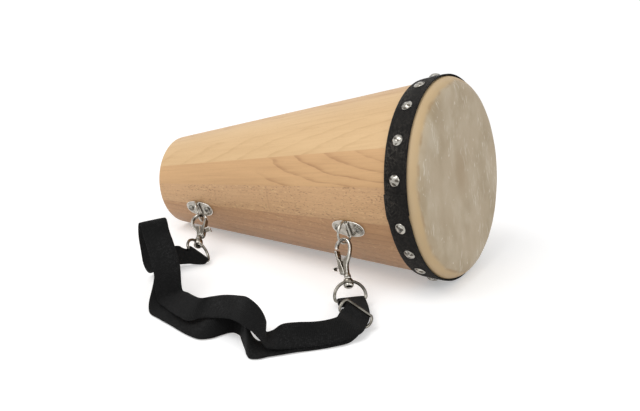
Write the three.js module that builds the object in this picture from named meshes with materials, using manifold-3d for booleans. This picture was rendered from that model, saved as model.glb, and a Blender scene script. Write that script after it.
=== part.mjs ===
// Small tapered hand drum of glued staves, lying on its side with its webbing shoulder strap.
// Millimetres, +Z up. The drum lies along X with its head towards +X, and the strap side is -Y.
// It rests on two tack domes at the head end and on the rim of its open small end.

import * as THREE from "three";
import { mergeVertices } from "three/addons/utils/BufferGeometryUtils.js";
import Module from "manifold-3d";

const wasm = await Module();
wasm.setup();

// Shell of glued staves
const shellLength = 340.5;
const headEndRadius = 98.8; // where the outer cone would meet the plane of the bearing edge
const smallEndRadius = 48.2;
const wallThickness = 12;
const staveCount = 16;
const staveTurn = 9.3; // degrees from the strap side up to the nearest joint
const glueLine = 0.16;
const bearingEdgeRadius = 13; // round over which the skin is pulled
const bearingLand = 1; // flat left at the inner side of the bearing edge
const smallEndRound = 2.5;

// Skin, band and tacks
const fit = 0.3; // clearance left between pieces that touch
const skinThickness = 1.2;
const bandThickness = 1.4;
const bandWidth = 25;
const bandSetback = 11; // from the playing face to the band, along the wall
const skinSkirt = 34; // how far the skin runs down the wall
const tackRadius = 5.5;
const tackRise = 2.3;
const tackEdge = 0.3;
const shankRadius = 0.9;
const shankLength = 10;
// Places of the hand-set tacks, in degrees from the top of the drum towards the strap side
const tackAngles = [14, 33.4, 55.2, 76.7, 102.9, 120.6, 136.8, 153.4, 170];
const farTackCount = 9; // even tacks up the far side, from the one opposite the last above

// Strap plates with their screws and D-rings
const plateDrop = 18.4; // degrees below the horizontal on the strap side
const plateSetbacks = { front: 86.5, rear: 284.5 }; // from the playing face, along the axis
const plateLength = 38;
const plateWidth = 18;
const plateThickness = 1.2;
const channelWall = 1.2;
const screwSpacing = 24;
const screwHeadRadius = 3.4;
const screwHeadRise = 1.8;
const screwRadius = 1.4;
const screwLength = 9;
const ringWire = 2.4; // diameter
const ringWidth = 21; // over the middle of the wire, across the plate
const ringReach = 15.4; // from the middle of its bar to the middle of its bow
const ringSwing = { front: 0, rear: 40 }; // degrees off the wall's normal at rest

// Trigger snap hooks
const hookLoopWidth = 18;
const hookWire = 2.9;
const hookSeat = 14.6; // from the ring's wire to the bottom of the loop
const hookDepth = 4.4;
const neckWidth = 4.6;
const neckEnd = 32;
const collarRadius = 3.4;
const collarHeight = 3;
const stemRadius = 1.8;
const crownRadius = 5;
const crownHeight = 4;
const leverWidth = 2;
const leverDepth = 6.8;
const earWall = 0.9;
const pinRadius = 0.8;
const lugDepth = 3;
const tabReach = 5;
const springPlace = 24; // down the hook
const springRadius = 1.3;

// Strap eyes on the hooks' swivels
const eyeWire = 3;
const eyeInnerWidth = 26.4;
const eyeHeight = 21; // over the outside, from the arch to the bar
const eyeBossRadius = 4.6;
const eyeBossHeight = 4.6;

// Strap
const webWidth = 25;
const webThickness = 1.3;
const layerGap = 0.9; // between the strap's two layers where they lie together
const sewnEnd = 13; // of webbing turned back past the middle of a bar

// Wire slider
const sliderWire = 2.6;
const sliderLength = 33;
const sliderWidth = 15;

// Materials
const finish = (color, roughness, metalness = 0) =>
  new THREE.MeshStandardMaterial({ color, roughness, metalness });
const woodTones = [0xdcb682, 0xe0bc88, 0xd2a878, 0xcfa074, 0xc89a70, 0xd8b080];
const rawhide = finish(0xcfc0a0, 0.7);
const blackWeb = finish(0x1c1c1c, 0.9);
const nickel = finish(0xcfcdc8, 0.25, 0.9);
const steel = finish(0xb8b6b0, 0.4, 0.8);

const radians = THREE.MathUtils.degToRad;
const vec = (x, y, z) => new THREE.Vector3(x, y, z);

// Solids and cuts

// Joins rings of points, each ring a closed convex outline with the same count, into one solid
function loft(rings, closedRun = false) {
  const count = rings[0].length;
  const positions = rings.flat().flatMap((p) => [p.x, p.y, p.z]);
  const index = [];
  const runs = closedRun ? rings.length : rings.length - 1;
  for (let i = 0; i < runs; i++) {
    const here = i * count;
    const next = ((i + 1) % rings.length) * count;
    for (let k = 0; k < count; k++) {
      const turn = (k + 1) % count;
      index.push(here + k, here + turn, next + turn, here + k, next + turn, next + k);
    }
  }
  if (!closedRun) {
    const last = (rings.length - 1) * count;
    for (let k = 1; k < count - 1; k++) {
      index.push(0, k + 1, k, last, last + k, last + k + 1);
    }
  }
  const geometry = new THREE.BufferGeometry();
  geometry.setAttribute("position", new THREE.Float32BufferAttribute(positions, 3));
  geometry.setIndex(index);
  return facingOut(geometry);
}

// Turns the faces round when a solid comes out with them pointing in
function facingOut(geometry) {
  const p = geometry.attributes.position;
  const index = geometry.index.array;
  let volume = 0;
  const [a, b, c] = [vec(), vec(), vec()];
  for (let i = 0; i < index.length; i += 3) {
    a.fromBufferAttribute(p, index[i]);
    b.fromBufferAttribute(p, index[i + 1]);
    c.fromBufferAttribute(p, index[i + 2]);
    volume += a.dot(b.cross(c));
  }
  if (volume < 0) {
    for (let i = 0; i < index.length; i += 3) [index[i], index[i + 1]] = [index[i + 1], index[i]];
  }
  return geometry;
}

// A round wire of the given radius along points, closed into a loop or with flat ends
function wire(points, radius, { closed = false, sides = 8 } = {}) {
  const n = points.length;
  const at = (i) => points[closed ? (i + n) % n : Math.min(Math.max(i, 0), n - 1)];
  const flatNormal = loopNormal(points);
  const rings = points.map((p, i) => {
    const along = at(i + 1).clone().sub(at(i - 1)).normalize();
    const side = vec().crossVectors(flatNormal, along).normalize();
    const up = vec().crossVectors(along, side);
    // a mitre keeps the wire's width through a bend
    const before = p.clone().sub(at(i - 1));
    const after = at(i + 1).clone().sub(p);
    const bend = before.lengthSq() && after.lengthSq() ? before.angleTo(after) / 2 : 0;
    const ring = [];
    for (let k = 0; k < sides; k++) {
      const turn = ((k + 0.5) / sides) * 2 * Math.PI;
      ring.push(
        p
          .clone()
          .addScaledVector(side, (radius * Math.cos(turn)) / Math.cos(bend))
          .addScaledVector(up, radius * Math.sin(turn)),
      );
    }
    return ring;
  });
  return loft(rings, closed);
}

// The normal of the plane that a bent wire mostly lies in
function loopNormal(points) {
  const normal = vec(0, 0, 0);
  for (let i = 1; i < points.length - 1; i++) {
    const a = points[i].clone().sub(points[0]);
    normal.add(a.cross(points[i + 1].clone().sub(points[0])));
  }
  return normal.normalize();
}

function toManifold(geometry, matrix = null) {
  let g = geometry.clone();
  if (matrix) g.applyMatrix4(matrix);
  for (const name of ["normal", "uv"]) g.deleteAttribute(name);
  g = mergeVertices(g, 1e-4);
  return new wasm.Manifold(
    new wasm.Mesh({
      numProp: 3,
      vertProperties: new Float32Array(g.attributes.position.array),
      triVerts: new Uint32Array(g.index.array),
    }),
  );
}

function fromManifold(solid) {
  const mesh = solid.getMesh();
  const geometry = new THREE.BufferGeometry();
  geometry.setAttribute("position", new THREE.BufferAttribute(mesh.vertProperties, 3));
  geometry.setIndex(new THREE.BufferAttribute(mesh.triVerts, 1));
  return geometry;
}

// A cylinder or cone from one point to another
function rod(from, to, radius, { endRadius = radius, sides = 12 } = {}) {
  const length = from.distanceTo(to);
  const geometry = new THREE.CylinderGeometry(endRadius, radius, length, sides);
  geometry.translate(0, length / 2, 0);
  const turn = new THREE.Quaternion().setFromUnitVectors(
    vec(0, 1, 0),
    to.clone().sub(from).normalize(),
  );
  geometry.applyQuaternion(turn);
  return geometry.translate(from.x, from.y, from.z);
}

// A solid of revolution about Z from a profile of [radius, height]
function revolve(profile, segments) {
  const points = profile.map(([r, z]) => new THREE.Vector2(r, z));
  const geometry = new THREE.LatheGeometry(points, segments);
  geometry.rotateX(Math.PI / 2);
  for (const name of ["normal", "uv"]) geometry.deleteAttribute(name);
  return facingOut(dropSlivers(mergeVertices(geometry, 1e-4)));
}

// Removes the triangles without area that a profile leaves on its axis
function dropSlivers(geometry) {
  const index = geometry.index.array;
  const kept = [];
  for (let i = 0; i < index.length; i += 3) {
    const [a, b, c] = [index[i], index[i + 1], index[i + 2]];
    if (a !== b && b !== c && c !== a) kept.push(a, b, c);
  }
  geometry.setIndex(kept);
  return geometry;
}

const part = new THREE.Group();
function place(name, geometry, material, parent) {
  const mesh = new THREE.Mesh(geometry, material);
  mesh.name = name;
  parent.add(mesh);
  return mesh;
}

// Lie of the drum
// In the drum's own frame +Z runs up its axis from the small end, +X is its top as it lies
// and +Y is the strap side.

const taper = Math.atan((headEndRadius - smallEndRadius) / shellLength);
const outerRadius = (z, proud = 0) =>
  smallEndRadius + (z / shellLength) * (headEndRadius - smallEndRadius) + proud / Math.cos(taper);
const faceHeight = shellLength + fit + skinThickness;
const bandProud = 2 * fit + skinThickness + bandThickness;
const tackHeight = faceHeight - (bandSetback + bandWidth / 2) * Math.cos(taper);

// Each tack's dome is a cap of a sphere
const domeSphere = (tackRadius ** 2 + tackRise ** 2) / (2 * tackRise);
const domeCentreProud = bandProud + fit + tackRise + tackEdge - domeSphere;
const lowestTack = radians(180 - tackAngles[tackAngles.length - 1]);

// The resting line touches the two lowest domes and the rounded small end
function restingTilt() {
  const footCentre = { z: smallEndRound, down: outerRadius(smallEndRound) - smallEndRound / Math.cos(taper) };
  const domeRadial = outerRadius(tackHeight) + domeCentreProud * Math.cos(taper);
  const dome = {
    z: tackHeight - domeCentreProud * Math.sin(taper),
    down: domeRadial * Math.cos(lowestTack),
  };
  const [run, drop] = [dome.z - footCentre.z, dome.down - footCentre.down];
  const reach = Math.hypot(run, drop);
  const tilt = Math.atan2(drop, run) + Math.asin((domeSphere - smallEndRound) / reach);
  const height = smallEndRound + footCentre.down * Math.cos(tilt) - footCentre.z * Math.sin(tilt);
  return { tilt, height };
}
const rest = restingTilt();

const drum = new THREE.Group();
drum.quaternion.setFromRotationMatrix(
  new THREE.Matrix4().makeBasis(
    vec(-Math.sin(rest.tilt), 0, Math.cos(rest.tilt)),
    vec(0, -1, 0),
    vec(Math.cos(rest.tilt), 0, Math.sin(rest.tilt)),
  ),
);
// The floor point below the middle of the playing face is the working origin
drum.position.set(-faceHeight * Math.cos(rest.tilt), 0, rest.height);
part.add(drum);
drum.updateMatrixWorld(true);

const tackNormal = (angle) =>
  vec(Math.cos(taper) * Math.cos(angle), Math.cos(taper) * Math.sin(angle), -Math.sin(taper));
const wallPoint = (angle, z, proud = 0) =>
  vec(outerRadius(z) * Math.cos(angle), outerRadius(z) * Math.sin(angle), z).addScaledVector(
    tackNormal(angle),
    proud,
  );

// Places of the tacks, and the shank holes through band, skin and staves

const farSide = 360 + tackAngles[0];
const firstFar = 360 - tackAngles[tackAngles.length - 1];
const farStep = (farSide - firstFar) / farTackCount;
const allTacks = [...tackAngles];
for (let i = 0; i < farTackCount; i++) allTacks.push(firstFar + i * farStep);

const shankHoles = allTacks.map((degrees) => {
  const angle = radians(degrees);
  const from = wallPoint(angle, tackHeight, bandProud + 2);
  const to = wallPoint(angle, tackHeight, bandProud + fit - shankLength - fit);
  return { degrees, geometry: rod(from, to, shankRadius + fit, { sides: 6 }) };
});

// Plate frames: X runs towards the head, Y up round the shell and Z out of the wall

const plateAngle = 90 + plateDrop;
const screwPlaces = [-screwSpacing / 2, screwSpacing / 2];
function plateFrame(end) {
  const frame = new THREE.Group();
  const z = faceHeight - plateSetbacks[end];
  const angle = radians(plateAngle);
  const out = tackNormal(angle);
  const along = vec(Math.sin(taper) * Math.cos(angle), Math.sin(taper) * Math.sin(angle), Math.cos(taper));
  frame.quaternion.setFromRotationMatrix(
    new THREE.Matrix4().makeBasis(along, vec().crossVectors(out, along), out),
  );
  frame.position.copy(wallPoint(angle, z));
  drum.add(frame);
  frame.updateMatrixWorld(true);
  frame.updateMatrix();
  return frame;
}
const plateFrames = { front: plateFrame("front"), rear: plateFrame("rear") };

const screwHoles = Object.values(plateFrames).flatMap((frame) =>
  screwPlaces.map((x) => {
    const hole = rod(vec(x, 0, 3), vec(x, 0, fit - screwLength - fit), screwRadius + fit, { sides: 10 });
    return { degrees: plateAngle, geometry: hole.applyMatrix4(frame.matrix) };
  }),
);

// Shell

const edgeCentreZ = shellLength - bearingEdgeRadius;
const edgeCentreR = outerRadius(edgeCentreZ) - bearingEdgeRadius / Math.cos(taper);
const innerRadius = (z) => outerRadius(z) - wallThickness / Math.cos(taper);

// The bearing edge's arc at an offset from the wood, from the wall up to the given angle
function bearingArc(offset, lastAngle, steps) {
  const points = [];
  for (let i = 0; i <= steps; i++) {
    const turn = -taper + (i / steps) * (lastAngle + taper);
    const radius = bearingEdgeRadius + offset;
    points.push([edgeCentreR + radius * Math.cos(turn), edgeCentreZ + radius * Math.sin(turn)]);
  }
  return points;
}

function staveProfile() {
  const profile = [];
  const footRadius = outerRadius(smallEndRound) - smallEndRound / Math.cos(taper);
  for (const degrees of [-90, -55, -25, -THREE.MathUtils.radToDeg(taper)]) {
    const turn = radians(degrees);
    profile.push([
      footRadius + smallEndRound * Math.cos(turn),
      smallEndRound * (1 + Math.sin(turn)),
    ]);
  }
  const land = (innerRadius(shellLength) + bearingLand - edgeCentreR) / bearingEdgeRadius;
  return [...profile, ...bearingArc(0, Math.acos(land), 5)];
}

const staveArc = 360 / staveCount;
const outerSteps = 4;
const insideSteps = 2;
const wallProfile = staveProfile();

function staveRing([r, z], from, to) {
  const arc = (radius, first, last, steps) => {
    const trim = Math.asin(glueLine / 2 / radius) * Math.sign(last - first);
    const points = [];
    for (let i = 0; i <= steps; i++) {
      const angle = first + trim + (i / steps) * (last - first - 2 * trim);
      points.push(vec(radius * Math.cos(angle), radius * Math.sin(angle), z));
    }
    return points;
  };
  return [...arc(r, from, to, outerSteps), ...arc(innerRadius(z), to, from, insideSteps)];
}

// A hole is cut from each stave whose span it meets
const meetsSpan = (degrees, from) => {
  const slack = 3;
  const turn = (((degrees - from + slack) % 360) + 360) % 360;
  return turn < staveArc + 2 * slack;
};

for (let i = 0; i < staveCount; i++) {
  const from = 90 - staveTurn + i * staveArc;
  const rings = wallProfile.map((point) => staveRing(point, radians(from), radians(from + staveArc)));
  let solid = toManifold(loft(rings));
  for (const hole of [...shankHoles, ...screwHoles]) {
    if (meetsSpan(hole.degrees, from)) solid = solid.subtract(toManifold(hole.geometry));
  }
  const tone = finish(woodTones[(i * 5) % woodTones.length], 0.6);
  place(`stave_${String(i + 1).padStart(2, "0")}`, fromManifold(solid), tone, drum);
}

// Skin head, pulled over the bearing edge and down the wall

const rimSegments = staveCount * outerSteps;
const arcTop = Math.PI / 2;
const wallLine = (z, offset) => [outerRadius(z) + offset / Math.cos(taper), z];
function skinProfile() {
  const skirtEnd = faceHeight - skinSkirt * Math.cos(taper);
  // the inside's straight steps clear the round of the wood
  const innerSteps = 4;
  const halfStep = (arcTop + taper) / innerSteps / 2;
  const bulge = (bearingEdgeRadius + fit) * (1 / Math.cos(halfStep) - 1);
  const inner = bearingArc(fit + bulge, arcTop, innerSteps);
  const outer = bearingArc(fit + skinThickness, arcTop, 5);
  return [
    [0, faceHeight - skinThickness],
    ...inner.reverse(),
    wallLine(skirtEnd, fit),
    wallLine(skirtEnd, fit + skinThickness),
    ...outer,
    [0, faceHeight],
  ];
}
const pierced = (geometry) => {
  let solid = toManifold(geometry);
  for (const hole of shankHoles) solid = solid.subtract(toManifold(hole.geometry));
  return fromManifold(solid);
};
place("skin_head", pierced(revolve(skinProfile(), rimSegments)), rawhide, drum);

// Woven band over the skin's edge

function bandProfile() {
  const [low, high] = [-1, 1].map((side) => tackHeight + (side * bandWidth * Math.cos(taper)) / 2);
  const inside = bandProud - bandThickness;
  return [
    wallLine(low, inside),
    wallLine(high, inside),
    wallLine(high, bandProud),
    wallLine(low, bandProud),
    wallLine(low, inside),
  ];
}
place("rim_band", pierced(revolve(bandProfile(), rimSegments)), blackWeb, drum);

// Domed tacks

function tackProfile() {
  const profile = [
    [0, -shankLength],
    [shankRadius, -shankLength + 2 * shankRadius],
    [shankRadius, 0],
    [tackRadius, 0],
  ];
  const rings = 3;
  const capTurn = Math.asin(tackRadius / domeSphere);
  for (let i = 0; i <= rings; i++) {
    const turn = capTurn * (1 - i / rings);
    const height = domeSphere * (Math.cos(turn) - Math.cos(capTurn));
    profile.push([domeSphere * Math.sin(turn), tackEdge + height]);
  }
  return profile;
}
const tackShape = revolve(tackProfile(), 12);
allTacks.forEach((degrees, i) => {
  const angle = radians(degrees);
  const name = `tack_${String(i + 1).padStart(2, "0")}`;
  const tack = place(name, tackShape, nickel, drum);
  tack.position.copy(wallPoint(angle, tackHeight, bandProud + fit));
  tack.quaternion.setFromUnitVectors(vec(0, 0, 1), tackNormal(angle));
});

// Strap plates, their screws and D-rings

const wireRadius = ringWire / 2;
const boreRadius = wireRadius + fit;
const barHeight = fit + boreRadius + 0.2; // of the ring's bar above the wall
const ringHalf = ringWidth / 2;
const ringCorner = 2;
const channelLength = ringWidth - ringWire - 2 * ringCorner + 1;

// A power below 1 fills out the ends of the oval
const softened = (value) => Math.sign(value) * Math.abs(value) ** 0.85;

function plateOutline() {
  const shape = new THREE.Shape();
  const steps = 40;
  for (let i = 0; i < steps; i++) {
    const turn = (i / steps) * 2 * Math.PI;
    const point = [
      (plateLength / 2) * softened(Math.cos(turn)),
      (plateWidth / 2) * softened(Math.sin(turn)),
    ];
    if (i === 0) shape.moveTo(...point);
    else shape.lineTo(...point);
  }
  return shape;
}

// A round-topped bar along Y, standing on the plane at the given height
function archBar(radius, bottom, length) {
  const section = new THREE.Shape();
  section.moveTo(-radius, bottom);
  section.lineTo(radius, bottom);
  section.lineTo(radius, barHeight);
  section.absarc(0, barHeight, radius, 0, Math.PI, false);
  section.lineTo(-radius, bottom);
  const bar = new THREE.ExtrudeGeometry(section, { depth: length, bevelEnabled: false, curveSegments: 8 });
  return bar.rotateX(Math.PI / 2).translate(0, length / 2, 0);
}

function plateSolid() {
  const sheet = new THREE.ExtrudeGeometry(plateOutline(), {
    depth: plateThickness,
    bevelEnabled: false,
  }).translate(0, 0, fit);
  let solid = toManifold(sheet).add(toManifold(archBar(boreRadius + channelWall, fit, channelLength)));
  solid = solid.subtract(toManifold(archBar(boreRadius, -1, plateWidth + 4)));
  for (const x of screwPlaces) {
    solid = solid.subtract(toManifold(rod(vec(x, 0, -1), vec(x, 0, 4), screwRadius + fit)));
  }
  return fromManifold(solid);
}

function screwProfile() {
  const base = 2 * fit + plateThickness; // underside of the head above the wall
  const profile = [
    [0, base - screwLength],
    [screwRadius, base - screwLength + 3],
    [screwRadius, base],
    [screwHeadRadius, base],
  ];
  const rings = 3;
  for (let i = 0; i <= rings; i++) {
    const turn = (i / rings) * (Math.PI / 2);
    profile.push([screwHeadRadius * Math.cos(turn), base + 0.4 + screwHeadRise * Math.sin(turn)]);
  }
  return profile;
}
const screwShape = revolve(screwProfile(), 14);

// The D of the ring in its own plane: y across the plate, z out from the bar
function ringPath() {
  const points = [];
  const bow = ringReach - ringHalf;
  for (let i = 0; i <= 2; i++) {
    const turn = (i / 2) * (Math.PI / 2) - Math.PI / 2;
    points.push(
      vec(0, ringHalf - ringCorner + ringCorner * Math.cos(turn), ringCorner * (1 + Math.sin(turn))),
    );
  }
  for (let i = 0; i <= 14; i++) {
    const turn = (i / 14) * Math.PI;
    points.push(vec(0, ringHalf * Math.cos(turn), bow + ringHalf * Math.sin(turn)));
  }
  const corner = points.slice(0, 3).reverse();
  return [...points, ...corner.map((p) => vec(0, -p.y, p.z))];
}
const ringShape = wire(ringPath(), wireRadius, { closed: true });

const ringGroups = {};
for (const [end, frame] of Object.entries(plateFrames)) {
  place(`${end}_plate`, plateSolid(), nickel, frame);
  screwPlaces.forEach((x, i) => {
    place(`${end}_screw_${i + 1}`, screwShape, steel, frame).position.set(x, 0, 0);
  });
  const swing = new THREE.Group();
  swing.position.z = barHeight;
  swing.rotation.y = radians(ringSwing[end]);
  frame.add(swing);
  place(`${end}_d_ring`, ringShape, nickel, swing);
  swing.updateMatrixWorld(true);
  ringGroups[end] = swing;
}

// Trigger snap hooks
// Each hook's frame has its origin at the middle of the ring's wire, +Y down the hook,
// its trigger on the -X side and +Z square to its flat.

// way runs down the hook, side picks the face that its trigger is left of, and roll turns the
// eye's bar about the hook, in degrees from level, with its right end down
const hangs = {
  front: { way: vec(0.412, -0.453, -0.791), side: -1, roll: -6 },
  rear: { way: vec(0.52, -0.762, -0.386), side: 1, roll: 47 },
};
const hangSlack = 0.8; // between ring and loop, for the curve of both
const loopHalf = hookLoopWidth / 2;
const loopInner = loopHalf - hookWire;
const loopCentre = loopInner - wireRadius - hangSlack;

function hookFrame(end) {
  const swing = ringGroups[end];
  const turn = swing.getWorldQuaternion(new THREE.Quaternion());
  const way = hangs[end].way.clone().normalize();
  const pull = way.clone().applyQuaternion(turn.clone().invert()).setX(0).normalize();
  const seat = vec(0, ringHalf * pull.y, ringReach - ringHalf + ringHalf * pull.z);
  const facing = vec(0, pull.z, -pull.y).applyQuaternion(turn).multiplyScalar(hangs[end].side);
  facing.addScaledVector(way, -facing.dot(way)).normalize();
  const frame = new THREE.Group();
  frame.position.copy(swing.localToWorld(seat));
  frame.quaternion.setFromRotationMatrix(
    new THREE.Matrix4().makeBasis(vec().crossVectors(way, facing), way, facing),
  );
  part.add(frame);
  frame.updateMatrixWorld(true);
  return frame;
}

const lipSetback = 4; // room for the trigger's back as it opens
// The flat of the hook body: the loop open on the trigger side, the web and the neck
function hookOutline() {
  const noseEnd = loopCentre + 1;
  const shape = new THREE.Shape();
  shape.moveTo(-loopInner, noseEnd);
  shape.lineTo(-loopHalf, noseEnd - 1);
  shape.lineTo(-loopHalf, loopCentre);
  shape.absarc(0, loopCentre, loopHalf, Math.PI, 2 * Math.PI, false);
  shape.quadraticCurveTo(loopHalf, loopCentre + 7, neckWidth / 2 + 1, hookSeat + 5);
  shape.quadraticCurveTo(neckWidth / 2 - 1, hookSeat + 9, neckWidth / 2, neckEnd);
  shape.lineTo(-neckWidth / 2, neckEnd);
  shape.lineTo(-neckWidth / 2, hookSeat + 8);
  shape.lineTo(-loopInner + lipSetback, hookSeat + 2.2);
  shape.lineTo(-loopInner + lipSetback, hookSeat);
  shape.quadraticCurveTo(loopInner, hookSeat + 0.6, loopInner, loopCentre);
  shape.absarc(0, loopCentre, loopInner, 0, -Math.PI, true);
  return shape;
}

const lugRadius = 1.5;
const leverPivot = vec(-3.2, neckEnd - 3.2, 0);
const collarTop = neckEnd;
const collarFoot = collarTop + collarHeight;
const bossTop = collarFoot + fit;
const bossFoot = bossTop + eyeBossHeight;

function hookBody() {
  const bevel = 0.7;
  const flat = new THREE.ExtrudeGeometry(hookOutline(), {
    depth: hookDepth - 2 * bevel,
    bevelThickness: bevel,
    bevelSize: bevel,
    bevelOffset: -bevel,
    bevelSegments: 1,
    curveSegments: 8,
  }).translate(0, 0, bevel - hookDepth / 2);
  // collar, stem and crown are turned about the hook's axis
  const turned = revolve(
    [
      [0, collarTop - 1.5],
      [collarRadius - 0.8, collarTop - 1.5],
      [collarRadius, collarTop],
      [collarRadius, collarFoot],
      [stemRadius, collarFoot],
      [stemRadius, bossFoot + fit],
      [crownRadius, bossFoot + fit],
      [crownRadius, bossFoot + fit + crownHeight * 0.5],
      [crownRadius * 0.6, bossFoot + fit + crownHeight],
      [0, bossFoot + fit + crownHeight],
    ],
    16,
  ).rotateX(-Math.PI / 2);
  let solid = toManifold(flat).add(toManifold(turned));
  // the lug that the trigger's pin goes through
  const lug = new THREE.Shape();
  lug.absarc(leverPivot.x, leverPivot.y, lugRadius, Math.PI / 2, (3 * Math.PI) / 2, false);
  lug.lineTo(0, leverPivot.y - lugRadius);
  lug.lineTo(0, leverPivot.y + lugRadius);
  const ear = new THREE.ExtrudeGeometry(lug, { depth: lugDepth, bevelEnabled: false, curveSegments: 6 });
  solid = solid.add(toManifold(ear.translate(0, 0, -lugDepth / 2)));
  const bore = rod(
    leverPivot.clone().setZ(-lugDepth),
    leverPivot.clone().setZ(lugDepth),
    pinRadius + 0.15,
  );
  return fromManifold(solid.subtract(toManifold(bore)));
}

// The trigger: a folded sheet lever whose back closes the loop and whose ears straddle the body
const gateTop = loopCentre + 1.9;
const pivotCover = 2.9; // from the pin out to the lever's back
const leverSlope = (leverPivot.x - pivotCover + loopHalf - 0.1) / (leverPivot.y - gateTop);
const backLine = (y) => -loopHalf + 0.1 + (y - gateTop) * leverSlope;
function leverSolid() {
  const earTop = hookSeat + 1;
  const side = new THREE.Shape();
  side.moveTo(backLine(gateTop), gateTop);
  side.lineTo(backLine(leverPivot.y), leverPivot.y);
  side.quadraticCurveTo(backLine(leverPivot.y) + 0.4, leverPivot.y + 2.2, leverPivot.x, leverPivot.y + 2.2);
  side.absarc(leverPivot.x, leverPivot.y, 2.2, Math.PI / 2, 0, true);
  side.lineTo(backLine(earTop) + 3.6, earTop + 1);
  side.lineTo(backLine(earTop) + leverWidth, earTop - 1);
  side.lineTo(backLine(gateTop) + leverWidth, gateTop);
  const block = new THREE.ExtrudeGeometry(side, { depth: leverDepth, bevelEnabled: false, curveSegments: 6 });
  let solid = toManifold(block.translate(0, 0, -leverDepth / 2));
  // hollow between the ears
  const hollow = new THREE.Shape();
  hollow.moveTo(backLine(earTop - 3) + earWall, earTop - 3);
  hollow.lineTo(backLine(leverPivot.y) + earWall, leverPivot.y + 3);
  hollow.lineTo(4, leverPivot.y + 3);
  hollow.lineTo(4, earTop - 3);
  const inside = leverDepth - 2 * earWall;
  const well = new THREE.ExtrudeGeometry(hollow, { depth: inside, bevelEnabled: false });
  solid = solid.subtract(toManifold(well.translate(0, 0, -inside / 2)));
  solid = solid.subtract(
    toManifold(
      rod(leverPivot.clone().setZ(-leverDepth), leverPivot.clone().setZ(leverDepth), pinRadius + 0.1),
    ),
  );
  return fromManifold(solid.add(toManifold(thumbTab())));
}

// The thumb tab: a strip of the lever's back bent out and curled down
function thumbTab() {
  const thick = 0.9;
  const tabHeight = 22;
  const start = backLine(tabHeight) + 0.5;
  const centre = [];
  centre.push(vec(start, tabHeight, 0));
  centre.push(vec(start - tabReach * 0.6, tabHeight - 0.4, 0));
  const curl = 1.6;
  for (let i = 0; i <= 5; i++) {
    const turn = -Math.PI / 2 - (i / 5) * Math.PI * 0.85;
    centre.push(
      vec(start - tabReach + curl * Math.cos(turn), tabHeight - 0.4 + curl + curl * Math.sin(turn), 0),
    );
  }
  const rings = centre.map((p, i) => {
    const a = centre[Math.max(i - 1, 0)];
    const b = centre[Math.min(i + 1, centre.length - 1)];
    const along = b.clone().sub(a).normalize();
    const side = vec(-along.y, along.x, 0).multiplyScalar(thick / 2);
    const halfWidth = leverDepth / 2 - 0.4;
    return [
      p.clone().add(side).setZ(-halfWidth),
      p.clone().add(side).setZ(halfWidth),
      p.clone().sub(side).setZ(halfWidth),
      p.clone().sub(side).setZ(-halfWidth),
    ];
  });
  return loft(rings);
}

const pinShape = rod(
  vec(leverPivot.x, leverPivot.y, -leverDepth / 2 - 0.3),
  vec(leverPivot.x, leverPivot.y, leverDepth / 2 + 0.3),
  pinRadius,
);

// Strap eyes: a D of wire whose boss turns on the hook's stem
const eyeWireRadius = eyeWire / 2;
const eyeHalf = (eyeInnerWidth + eyeWire) / 2;
const eyeTop = (bossTop + bossFoot) / 2;
const eyeBar = eyeTop + eyeHeight - eyeWire;
function eyePath() {
  const points = [];
  const shoulder = eyeHeight - eyeWire - 3.5;
  for (let i = 0; i <= 16; i++) {
    const turn = (i / 16) * Math.PI;
    points.push(vec(-eyeHalf * Math.cos(turn), eyeTop + shoulder * (1 - Math.sin(turn)), 0));
  }
  const corner = 3;
  for (let i = 0; i <= 3; i++) {
    const turn = (i / 3) * (Math.PI / 2);
    points.push(
      vec(eyeHalf - corner + corner * Math.cos(turn), eyeBar - corner + corner * Math.sin(turn), 0),
    );
  }
  return [...points, ...points.slice(-4).reverse().map((p) => vec(-p.x, p.y, 0))];
}
function eyeSolid() {
  const boss = rod(vec(0, bossTop, 0), vec(0, bossFoot, 0), eyeBossRadius, { sides: 16 });
  const bore = rod(vec(0, bossTop - 1, 0), vec(0, bossFoot + 1, 0), stemRadius + fit, { sides: 16 });
  const loop = wire(eyePath(), eyeWireRadius, { closed: true });
  return fromManifold(toManifold(loop).add(toManifold(boss)).subtract(toManifold(bore)));
}

// Which way the eye's bar points at rest, across the hook
function eyeBarDirection(end) {
  const { way, roll } = hangs[end];
  const level = vec(-way.y, way.x, 0).normalize();
  const down = vec().crossVectors(way, level).normalize();
  if (down.z > 0) down.negate();
  return level.multiplyScalar(Math.cos(radians(roll))).addScaledVector(down, Math.sin(radians(roll)));
}

const springShape = rod(
  vec(backLine(springPlace) + earWall + fit, springPlace, 0),
  vec(-neckWidth / 2 - fit, springPlace, 0),
  springRadius,
  { sides: 8 },
);

const hookFrames = { front: hookFrame("front"), rear: hookFrame("rear") };
const eyes = {};
for (const [end, frame] of Object.entries(hookFrames)) {
  place(`${end}_hook`, hookBody(), nickel, frame);
  place(`${end}_trigger`, leverSolid(), nickel, frame);
  place(`${end}_trigger_pin`, pinShape, steel, frame);
  place(`${end}_trigger_spring`, springShape, steel, frame);
  const eye = new THREE.Group();
  const bar = eyeBarDirection(end);
  const axis = (column) => vec().setFromMatrixColumn(frame.matrixWorld, column);
  eye.rotation.y = Math.atan2(-bar.dot(axis(2)), bar.dot(axis(0)));
  frame.add(eye);
  place(`${end}_eye`, eyeSolid(), nickel, eye);
  eye.updateMatrixWorld(true);
  eyes[end] = { bar, centre: eye.localToWorld(vec(0, eyeBar, 0)), way: axis(1) };
}

// Strap: one length of webbing. It runs from a sewn end on the front eye, through the slider,
// along the floor, over a standing fold and round the rear eye's bar, then back beside itself
// to its other sewn end on the slider.
// A station is a point on the webbing's lower edge and one across from it on the upper edge.

const edges = (low, high) => ({ low: vec(...low), high: vec(...high) });
const sliderStation = edges([-21, -149, 9], [-44, -155, 23]);
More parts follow.
